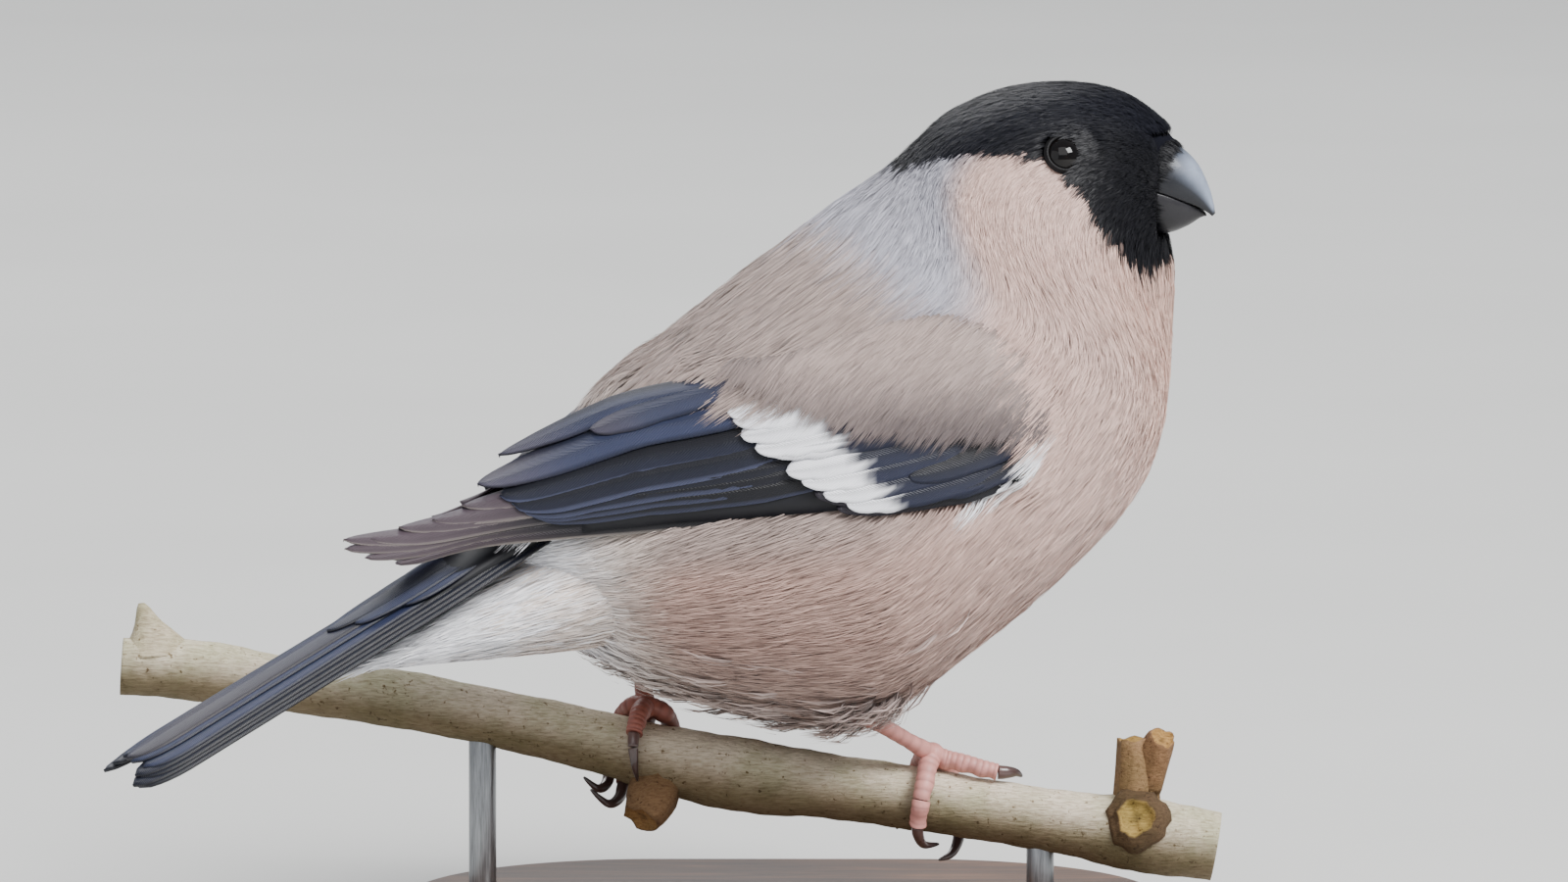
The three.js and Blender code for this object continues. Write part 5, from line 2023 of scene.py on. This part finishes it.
@dataclass
class BillForm(Form):
    """The outer face of half the bill: u along it in rows, v over it from the left edge to the right."""

    body: BodyForm
    table: Rows
    flip: bool
    handed: float

    def point(self, u: Array, v: Array) -> Array:
        """Points on the half.

        Args:
            u: Places along it, in rows.
            v: Angles over it.

        Returns:
            The points.
        """
        r = self.table.at(u)
        edge, out = r[..., 2:4], r[..., :2] - r[..., 2:4]
        if self.flip:
            edge, out = r[..., :2], -out
        flat = edge + out * (np.abs(np.sin(v)) ** BILL_ROUND[0])[..., None]
        side = r[..., 4] * np.sign(np.cos(v)) * np.abs(np.cos(v)) ** BILL_ROUND[1]
        return np.stack([flat[..., 0], side, flat[..., 1]], -1)

    def map_place(self, u: Array, v: Array) -> Array:
        """The half rolled out flat."""
        return np.stack([np.clip(u / 3, 0.02, 0.98), np.clip(v / math.pi, 0.02, 0.98)], -1)

    def world(self, p: Array) -> Array:
        """Turned with the head and placed."""
        return self.body.world(p)


@dataclass
class Bill:
    """The bill's two halves."""

    form: BodyForm
    # the upper half's dark edge and pale middle, which is a painted sheen over the top of the dark bill, the
    # lower half's foot and tip
    tones: tuple[str, str, str, str] = ("1d1e22", "868fa0", "242326", "151416")
    lower_inset: float = 0.18  # how much narrower the lower half is
    # x and z along the ridge, x and z along the cutting edge, half width
    upper: Rows = Rows((
        (35.0, 94.8, 33.5, 90.2, 3.9), (39.5, 95.1, 37.5, 89.6, 4.5), (42.3, 93.7, 40.6, 88.8, 4.1),
        (44.3, 91.8, 42.8, 87.9, 3.2), (45.6, 89.2, 44.4, 87.1, 2.0), (46.2, 87.2, 45.5, 86.3, 0.95),
        (46.4, 86.0, 46.1, 85.7, 0.3),
    ))
    lower: Rows = Rows((
        (33.5, 89.8, 33.0, 84.6, 3.9), (37.5, 89.2, 37.4, 83.9, 4.6), (40.6, 88.4, 40.8, 83.7, 4.2),
        (42.8, 87.5, 43.1, 84.5, 3.1), (44.4, 86.7, 44.7, 85.5, 1.6), (45.3, 86.0, 45.4, 85.7, 0.4),
    ))

    def half_rings(self, table: Rows, flip: bool, shrink: float) -> tuple[Array, Array, Array]:
        """Rings of one half.

        Args:
            table: Its sizes.
            flip: True for the lower half, whose first line is its cutting edge.
            shrink: How much narrower it is made.

        Returns:
            Points, and for each its place along the half and how high it lies over the cutting edge.
        """
        steps, sides = 34, 40
        place = np.linspace(0, len(table.table) - 1, steps)
        r = table.at(place)
        out = r[:, :2] - r[:, 2:4]
        edge = r[:, 2:4]
        if flip:
            out, edge = -out, r[:, :2]
        high = np.linalg.norm(out, axis=1, keepdims=True)
        out = out / np.maximum(high, 1e-6)
        a = round_line(sides)
        rise, cos = np.sin(a), np.cos(a)
        reach = np.where(rise > 0, high * np.abs(rise) ** BILL_ROUND[0], 0.1 * high * rise)
        side = (r[:, 4:5] - shrink) * np.sign(cos) * np.abs(cos) ** BILL_ROUND[1]
        x = edge[:, :1] + out[:, :1] * reach
        z = edge[:, 1:] + out[:, 1:] * reach
        along = np.broadcast_to((place / place[-1])[:, None], x.shape)
        return np.stack([x, side, z], -1), along, np.broadcast_to(rise, x.shape)

    def build(self, finish: Material) -> None:
        """Builds and dresses both halves.

        Args:
            finish: Their material.
        """
        edge, sheen_tone, foot, tip = (rgb(tone) for tone in self.tones)
        p, along, rise = self.half_rings(self.upper, False, 0.0)
        # painted sheen: a pale band over the top of the upper half's middle
        pale = soft(along, 0.27, 0.5) * (1 - soft(along, 0.85, 0.98)) * soft(rise, 0.25, 0.85)
        upper = wrap("bill_upper_half", self.form.world(p), blend(edge + 0 * p, sheen_tone, pale))
        dress(upper, finish, "bill", "bill_upper")
        p, along, rise = self.half_rings(self.lower, True, self.lower_inset)
        lower = wrap("bill_lower_half", self.form.world(p), blend(foot + 0 * p, tip, soft(along, 0.6, 0.95)))
        dress(lower, finish, "bill", "bill_lower")

    def bristles(self, coat: Coat, finish: Material) -> None:
        """Grows short bristles forwards over the foot of both halves.

        Args:
            coat: What grows them.
            finish: Their material.
        """
        rng = coat.rng
        for name, table, flip, n in (("over", self.upper, False, 620), ("under", self.lower, True, 300)):
            form = BillForm(self.form, table, flip, -1.0 if flip else 1.0)
            lean = rng.uniform(-1, 1, n)
            tufts = Tufts(
                u=rng.uniform(0.95, 1.5, n) - 0.1 * np.abs(lean), v=math.pi / 2 + 1.45 * lean,
                back=-np.ones(n), down=0.12 * rng.standard_normal(n),
                length=2.3 * (0.7 + 0.6 * rng.random(n)), width=np.full(n, 0.4),
                level=0.06 + 0.3 * rng.random(n), depth=np.full(n, 0.4), colour=even(CAP_BLACK, n),
            )
            coat.grow(f"coat_bristles_{name}", form, tufts, finish, "cap", 4, 0.3)


# Perch


@dataclass
class Branch:
    """The cut length of branch, with its thorn and stubs."""

    # x, z of the middle line, radius
    line: Rows = Rows((
        (-76.0, 33.7, 3.4), (-67.0, 33.1, 3.5), (-56.0, 31.4, 3.25), (-42.0, 29.5, 3.35), (-23.0, 25.4, 3.5),
        (-13.7, 22.9, 4.0), (-3.4, 20.8, 4.25), (6.8, 19.5, 3.85), (17.1, 18.0, 3.65), (28.5, 16.1, 3.7),
        (36.0, 14.9, 3.75), (42.7, 13.9, 4.5), (51.5, 12.4, 4.0),
    ))
    rows: int = 200
    sides: int = 44
    # painted light: the bark's top is painted pale and its underside dark, by how far up each point faces
    under: str = "6f644f"
    top: str = "d3ccbe"
    thorn: str = "beb5a3"
    thorn_x: float = -73.3
    thorn_radii: tuple[float, ...] = (3.3, 3.2, 3.0, 2.7, 2.3, 1.8, 1.4, 1.05, 0.8, 0.6, 0.35)
    stub_sides: int = 24

    def at(self, x: Array) -> tuple[Array, Array]:
        """Height of the middle line and radius at x."""
        r = self.line.where(x)
        return r[..., 1], r[..., 2]

    def over(self, x: float, degrees: float, height: float) -> Array:
        """A point over the bark.

        Args:
            x: Its place along the branch.
            degrees: How far it lies round from the top, towards -Y.
            height: How high it lies above the bark.

        Returns:
            The point.
        """
        z, radius = self.at(np.array(x))
        a, out = math.radians(degrees), float(radius) + height
        return np.array([x, -out * math.sin(a), float(z) + out * math.cos(a)])

    def stub(self, name: str, points: list, radii: list[float], colour: str, face: str) -> Piece:
        """Makes a cut stub with a ragged rim.

        Args:
            name: The piece's name.
            points: A few points of its middle line.
            radii: Radii evenly along it.
            colour: Of its bark.
            face: Of its cut face.

        Returns:
            The piece.
        """
        path = smooth_path(points, 10)
        size = np.interp(np.linspace(0, 1, 11), np.linspace(0, 1, len(radii)), radii)
        a = round_line(self.stub_sides)
        lumps = 1 + 0.06 * np.sin(3 * a + 1) + 0.05 * np.sin(7 * a) + 0.03 * np.sin(11 * a + 2)
        rings = tube_rings(path, size[:, None] * lumps, self.stub_sides)
        middle, last = path[-1], rings[-1]
        ahead = unit(path[-1] - path[-2])
        lip = last + (np.sin(5 * a) * 0.18 + 0.15)[:, None] * ahead
        # share of the rim's radius and depth of the rings over the cut face
        cut = ((0.86, 0.05), (0.8, 0.35), (0.4, 0.3), (0.05, 0.45))
        inner = [middle + (lip - middle) * share - ahead * deep for share, deep in cut]
        rings = np.concatenate([rings[:-1], lip[None], np.stack(inner)])
        colours = rgb(colour) + 0 * rings
        colours[-len(cut) :] = rgb(face)
        colours[-1:] = rgb(face) * 0.5
        return wrap(name, rings * MM, colours)

    def build(self, bark: Material) -> None:
        """Builds and dresses the branch.

        Args:
            bark: Its material.
        """
        r = self.line.at(np.linspace(0, len(self.line.table) - 1, self.rows))
        a = round_line(self.sides)
        x = r[:, :1]
        lumps = 1 + 0.02 * np.sin(x * 0.31 + 2 * a) + 0.015 * np.sin(x * 0.83 + 3 * a)
        lumps = lumps + 0.008 * np.sin(x * 2.1 + 5 * a)
        rings = tube_rings(np.stack([r[:, 0], 0 * r[:, 0], r[:, 1]], -1), r[:, 2:3] * lumps, self.sides)
        lit = soft(np.sin(a)[None] + 0 * x, -0.5, 0.9)
        body = wrap("perch_branch", rings * MM, blend(rgb(self.under) + 0 * rings, rgb(self.top), lit))
        dress(body, bark, "bark", "perch")
        dress(self.build_thorn(), bark, "bark")
        for stub in self.build_stubs():
            dress(stub, bark, "bark")

    def build_thorn(self) -> Piece:
        """Builds the thorn, a swelling of the bark near the branch's end.

        Returns:
            The piece.
        """
        x = self.thorn_x
        z, radius = self.at(np.array(x))
        top = float(z + radius)
        path = smooth_path([(x, 0, top - 2), (x, 0, top), (x - 0.4, 0, top + 4.0)], 10)
        rings = tube_rings(path, np.array(self.thorn_radii), 20)
        off = rings[..., 0] - (x - 0.1)
        rings[..., 0] = np.maximum(x - 0.1 + off * np.where(off > 0, 2.1, 1.0), x - 2.6)
        rings[..., 2] += 0.5 * np.sin(1.3 * off) * soft(off, 0.3, 2.0)
        return wrap("perch_thorn", rings * MM, rgb(self.thorn) + 0 * rings)

    def build_stubs(self) -> list[Piece]:
        """Builds the low stub, and the knot with a stump and a knob over it.

        Returns:
            The pieces.
        """
        low, _ = self.at(np.array(-13.2))
        z, radius = self.at(np.array(42.4))
        top = float(z + radius)
        return [
            self.stub("perch_low_stub", [(-13.2, 0, low), (-14.3, -2.0, low - 4.6), (-15.4, -3.4, low - 6.6)],
                      [3.1, 3.0, 2.2], "6b543c", "8d7049"),
            self.stub("perch_knot", [(42.4, 0, z + 1.0), (42.3, -4.0, z + 2.2), (42.1, -5.2, z + 2.6)],
                      [3.7, 3.7, 2.3], "574532", "a1884f"),
            self.stub("perch_stump", [(42.0, 0, z), (42.2, -0.6, top + 2), (42.0, -0.6, top + 6.6)],
                      [2.9, 2.5, 2.0], "8a6f52", "a5854f"),
            self.stub("perch_stump_knob",
                      [(43.4, -0.4, top + 1), (44.6, -1.4, top + 5.6), (45.2, -2.2, top + 7.0)],
                      [1.9, 1.9, 1.5], "7d6045", "a5834f"),
        ]


@dataclass
class Leg:
    """A shank with its foot and claws, in the stand's frame."""

    side: Side
    branch: Branch
    heel: tuple[float, float, float]
    foot: tuple[float, float, float]
    # name of each toe, then the steps of toe and claw as x, degrees round from the top, height
    toes: tuple
    tint: str = "bd837b"
    # share of its length, radius
    shank: Rows = Rows(((0, 1.5), (0.12, 1.25), (0.35, 0.95), (0.7, 0.9), (0.9, 1.1), (1, 1.1)))
    scutes: int = 9
    toe_scutes: float = 3.0  # for each joint
    toe_radius: tuple[float, float] = (1.22, 0.25)  # at its root, and what it loses to its tip
    knuckle: float = 1.45
    bedded: float = 0.15  # how far the middle lines are raised so that the toes lie on the bark
    claw_tones: tuple[str, str] = ("5a4440", "1d1616")
    claw_radius: tuple[float, float] = (0.62, 0.1)

    def line_of(self, steps: tuple) -> list[Array]:
        """Points over the bark at these steps."""
        return [self.branch.over(x, degrees, height + self.bedded) for x, degrees, height in steps]

    def build(self, leg: Material, claw: Material) -> None:
        """Builds and dresses shank, toes and claws.

        Args:
            leg: Material of shank and toes.
            claw: Material of the claws.
        """
        name = self.side.name.lower()
        heel, foot = np.array(self.heel), np.array(self.foot)
        t = np.linspace(0, 1, 90)
        path = heel + (foot - heel) * t[:, None]
        plate = np.abs(np.sin(math.pi * self.scutes * t)) ** 0.5
        rings = tube_rings(path, self.shank.line(t) * (0.96 + 0.06 * plate), 24)
        shank = wrap(f"shank_{name}", rings * MM, self.shaded(rings, 0.75 + 0.3 * plate))
        dress(shank, leg, "leg", f"leg_{name}")
        deselect()
        bpy.ops.mesh.primitive_uv_sphere_add(segments=28, ring_count=18, radius=self.knuckle * MM,
                                             location=foot * MM)
        knuckle = bpy.context.object
        settle(knuckle)
        tint_points(knuckle.data, rgb(self.tint))
        parts = [knuckle]
        for toe_name, steps, hook in self.toes:
            line = [foot] + self.line_of(steps)
            parts.append(self.build_toe(line))
            nail = self.build_claw(f"nail_{name}_{toe_name}", line[-2:], self.line_of(hook))
            dress(nail, claw, "claw", f"claw_{name}_{toe_name}")
        dress(join_pieces(f"toes_{name}", parts), leg, "leg", f"foot_{name}")

    def shaded(self, rings: Array, shade: Array) -> Array:
        """The leg's colour for every point, with one shade for each ring."""
        return rgb(self.tint) * shade[:, None, None] + 0 * rings

    def build_toe(self, line: list[Array]) -> Piece:
        """Builds a toe with scutes above and pads below.

        Args:
            line: A few points of its middle line.

        Returns:
            The piece.
        """
        path = smooth_path(line, 88)
        t = np.linspace(0, 1, len(path))
        joints = len(line) - 1
        plate = np.abs(np.sin(math.pi * self.toe_scutes * joints * t)) ** 0.5
        pads = 0.97 + 0.10 * np.cos(TURN * joints * t)
        upper = soft(np.sin(round_line(20)), -0.4, 0.1)
        relief = (0.93 + 0.1 * plate)[:, None] * upper + pads[:, None] * (1 - upper)
        rings = tube_rings(path, (self.toe_radius[0] - self.toe_radius[1] * t)[:, None] * relief, 20)
        return wrap("toe", rings * MM, self.shaded(rings, 0.7 + 0.36 * plate))

    def build_claw(self, name: str, last: list[Array], hook: list[Array]) -> Piece:
        """Builds a claw that carries on the line of its toe.

        Args:
            name: The piece's name.
            last: The last two points of the toe's line.
            hook: Points of the claw's own line.

        Returns:
            The piece.
        """
        end = last[1]
        curve = smooth_path(last + hook, 60)
        after = curve[np.linalg.norm(curve - end, axis=1).argmin() :]
        after = after[np.linalg.norm(after - end, axis=1) > 0.05]
        few = after[:: max(1, len(after) // 8)]
        path = smooth_path([*few, after[-1]], 30)
        t = np.linspace(0, 1, len(path))
        rings = tube_rings(path, self.claw_radius[0] * (1 - t**1.6) + self.claw_radius[1], 16, 1.15)
        foot, tip = (rgb(tone) for tone in self.claw_tones)
        return wrap(name, rings * MM, blend(foot + 0 * rings, tip, t[:, None] + 0 * rings[..., 0]))


@dataclass
class Stand:
    """The plain wooden base and its two rods."""

    branch: Branch
    x: float = 1.0
    length: float = 88.0
    width: float = 58.0
    height: float = 7.0
    round: float = 1.2
    rods: tuple[float, float] = (-34.0, 31.0)
    rod_radius: float = 1.6
    rod_round: float = 0.25
    # how far a rod's top lies in the branch, and its foot above the base
    rod_ends: tuple[float, float] = (0.9, 0.2)

    def cylinder(self, sides: int, radius: float, x: float, low: float, high: float) -> Piece:
        """Adds an upright cylinder.

        Args:
            sides: Its sides.
            radius: Its radius.
            x: Its place along the stand.
            low: Height of its foot.
            high: Height of its top.

        Returns:
            The piece.
        """
        deselect()
        bpy.ops.mesh.primitive_cylinder_add(vertices=sides, radius=radius * MM, depth=(high - low) * MM,
                                            location=(x * MM, 0, (high + low) / 2 * MM))
        piece = bpy.context.object
        settle(piece)
        return piece

    def build(self, wood: Material, metal: Material) -> None:
        """Builds and dresses base and rods.

        Args:
            wood: The base's material.
            metal: The rods' material.
        """
        base = self.cylinder(128, self.width / 2, self.x, 0, self.height)
        push = (self.length / 2 - self.width / 2) * MM
        for vertex in base.data.vertices:
            off = vertex.co.x - self.x * MM
            vertex.co.x += push if off > 1e-6 else -push if off < -1e-6 else 0
        round_edges(base, "stand_plinth", self.round, 4)
        dress(base, wood, "stand_wood", "stand_base")
        for i, x in enumerate(self.rods):
            z, radius = self.branch.at(np.array(x))
            top = float(z - radius) + self.rod_ends[0]
            rod = self.cylinder(40, self.rod_radius, x, self.height + self.rod_ends[1], top)
            round_edges(rod, f"stand_pin_{i + 1}", self.rod_round, 3)
            dress(rod, metal, "stand_metal", f"stand_rod_{i + 1}")


# Studio


@dataclass
class Studio:
    """The plain pale floor, the soft lights and the camera."""

    target: tuple[float, float, float] = (1.14, 0.0, 60.07)
    distance: float = 2400.0
    elevation: float = 7.0
    lens: float = 473.7
    floor_reach: float = 9.0  # half its size, in metres
    sweep: float = 3.4  # where it begins to rise behind the bird, in metres
    floor_tones: tuple[str, str] = ("c9c9c6", "cfcfcc")
    # name, place and size in metres, and power of each light
    lights: tuple = (
        ("key", (0.75, -0.65, 1.0), 0.6, 34.0), ("sky", (0.1, -1.5, 1.5), 1.7, 17.0),
        ("fill", (-0.9, -0.9, 0.45), 1.1, 3.0), ("back", (-0.2, 0.9, 1.0), 0.8, 12.0),
    )
    sky: tuple[float, float, float, float] = (0.86, 0.9, 1.0, 1)
    sky_power: float = 0.45

    def build(self) -> None:
        """Builds floor, lights, sky and camera."""
        self.floor()
        for light in self.lights:
            self.light(*light)
        world = bpy.data.worlds.new("Studio")
        bpy.context.scene.world = world
        world.use_nodes = True
        background = world.node_tree.nodes["Background"]
        background.inputs[0].default_value = self.sky
        background.inputs[1].default_value = self.sky_power
        tilt = math.radians(self.elevation)
        data = bpy.data.cameras.new("Camera")
        data.lens, data.sensor_width = self.lens, 36.0
        data.clip_start, data.clip_end = 0.05, 50.0
        camera = bpy.data.objects.new("Camera", data)
        bpy.context.scene.collection.objects.link(camera)
        back = Vector((0, -math.cos(tilt), math.sin(tilt)))
        camera.location = Vector(self.target) * MM + back * self.distance * MM
        camera.rotation_euler = (-back).to_track_quat("-Z", "Y").to_euler()
        bpy.context.scene.camera = camera

    def floor(self) -> None:
        """A pale floor that curves up far behind."""
        deselect()
        bpy.ops.mesh.primitive_grid_add(x_subdivisions=4, y_subdivisions=80, size=2)
        floor = bpy.context.object
        floor.name = floor.data.name = "floor"
        for vertex in floor.data.vertices:
            y = vertex.co.y * self.floor_reach
            rise = max(0.0, y - self.sweep)
            vertex.co = (vertex.co.x * self.floor_reach, min(y, self.sweep + rise * 0.55), rise**2 * 0.2)
        bpy.ops.object.shade_smooth()
        finish = SpeckledFinish("Pale floor", self.floor_tones, (0.3, 0.7), 6.0, 0.8)
        floor.data.materials.append(finish.make())

    def light(self, name: str, place: tuple[float, float, float], size: float, power: float) -> None:
        """Adds a square soft light that faces the bird.

        Args:
            name: Its name.
            place: Where it hangs, in metres.
            size: Length of its sides, in metres.
            power: Its power, in watts.
        """
        data = bpy.data.lights.new(name, "AREA")
        data.size, data.energy = size, power
        lamp = bpy.data.objects.new(name, data)
        bpy.context.scene.collection.objects.link(lamp)
        lamp.location = place
        lamp.rotation_euler = (Vector((0, 0, 0.06)) - Vector(place)).to_track_quat("-Z", "Y").to_euler()


RIGHT_TOES = (
    ("back", ((18.0, 25, 1.5), (17.5, 60, 1.35), (17.0, 92, 1.25), (16.7, 120, 1.2)),
     ((16.8, 138, 1.4), (17.5, 158, 1.6), (19.2, 174, 1.1))),
    ("outer", ((20.0, 8, 1.5), (22.0, 11, 1.5), (24.2, 14, 1.35), (26.0, 15, 1.25)),
     ((27.2, 12, 1.3), (28.2, 4, 1.2), (28.9, -6, 0.8))),
    ("middle", ((19.2, -24, 1.5), (20.6, -60, 1.4), (21.3, -96, 1.3), (21.6, -128, 1.2)),
     ((21.4, -150, 1.6), (20.6, -172, 2.3), (19.2, -196, 3.0))),
    ("inner", ((17.4, -28, 1.4), (16.6, -62, 1.3), (15.9, -94, 1.2)),
     ((15.2, -114, 1.35), (14.6, -134, 1.35), (14.3, -152, 0.9))),
)
LEFT_TOES = (
    ("back", ((-15.6, 22, 1.5), (-16.0, 42, 1.35), (-16.3, 58, 1.25)),
     ((-16.4, 76, 1.3), (-16.2, 100, 1.2), (-15.9, 124, 0.75))),
    ("outer", ((-16.4, -20, 1.5), (-17.8, -54, 1.35), (-18.8, -92, 1.25), (-19.2, -132, 1.2)),
     ((-19.6, -156, 1.5), (-20.6, -178, 1.6), (-22.2, -186, 0.8))),
    ("middle", ((-14.6, -24, 1.5), (-15.2, -64, 1.4), (-16.4, -104, 1.3), (-17.6, -146, 1.5)),
     ((-18.1, -166, 2.3), (-19.4, -186, 2.9), (-21.4, -196, 2.0))),
    ("inner", ((-13.0, -20, 1.4), (-12.0, -54, 1.3), (-11.2, -88, 1.2)),
     ((-10.8, -108, 1.35), (-10.5, -130, 1.3), (-10.3, -150, 0.8))),
)


def main() -> None:
    """Builds the whole dressed model in order."""
    logging.basicConfig(level=logging.INFO, format="%(name)s: %(message)s")
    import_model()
    Studio().build()
    effects = Effects()
    effects.build()
    plumage = TintedFinish("Plumage", effects, 0.8, specular=0.25, sheen=0.25, mottle=0.1).make()
    cap = TintedFinish("Black cap", effects, 0.5, specular=0.24, mottle=0.1).make()
    flight = TintedFinish("Flight feathers", effects, 0.5, specular=0.36, sheen=0.04, sheen_tint="8fa4e8",
                          barb_relief=0.5).make()
    tail = TintedFinish("Tail feathers", effects, 0.42, specular=0.45, sheen=0.05, sheen_tint="8fa4e8",
                        barb_relief=0.5).make()
    skin = TintedFinish("Down", effects, 0.9, specular=0.1, mottle=0.2).make()
    horn = TintedFinish("Bill horn", effects, 0.38, specular=0.3, coat=0.06, mottle=0.25, mottle_scale=700.0,
                        grain_relief=0.15).make()
    lid = TintedFinish("Lids", effects, 0.6, specular=0.3, mottle=0.3).make()
    scales = TintedFinish(
        "Scaled leg", effects, 0.5, mottle=0.3, mottle_scale=600.0, grain_relief=0.25).make()
    nail = TintedFinish("Claws", effects, 0.3, coat=0.3, mottle=0.2).make()

    pose = Pose()
    body = BodyForm(pose)
    right = WingForm(pose, Side.RIGHT)
    left = WingForm(pose, Side.LEFT, (3.0, 0.2, -0.7))
    body.wings = [right, left]
    marks = Markings()
    coat = Coat(np.random.default_rng(5))
    eyes = [Eye(body, side) for side in Side]
    body.brows = [eye.middle()[0] for eye in eyes]
    Skin(body, marks).build(skin)
    BodyCoat(body, marks, coat, [(eye.middle()[0], eye.bare) for eye in eyes]).build(plumage, cap)
    Undertail(VentForm(pose), coat).build(skin, plumage)
    for form in body.wings:
        Wing(form, coat).build(flight, plumage)
    plume = Tail(pose)
    plume.build(tail)
    Rump(RumpForm(plume), coat).build(plumage)
    for eye in eyes:
        wet = SpeckledFinish("Eye", ("040303", "0c0706"), (0.35, 0.7), 1800.0, 0.03, 0.32)
        eye.build(wet.make(), lid)
    bill = Bill(body)
    bill.build(horn)
    bill.bristles(coat, cap)
    branch = Branch()
    branch.build(BarkFinish().make())
    Leg(Side.RIGHT, branch, (9.4, -10.6, 30.0), (18.4, -1.0, 23.4), RIGHT_TOES).build(scales, nail)
    # the left leg is painted a darker tint than the right, as painted shade on the far leg
    left_leg = Leg(Side.LEFT, branch, (-16.6, 9.2, 41.5), (-15.0, 1.2, 28.8), LEFT_TOES, "8c5347")
    left_leg.build(scales, nail)
    Stand(branch).build(WoodFinish().make(), MetalFinish().make())


if __name__ == "__main__":
    main()
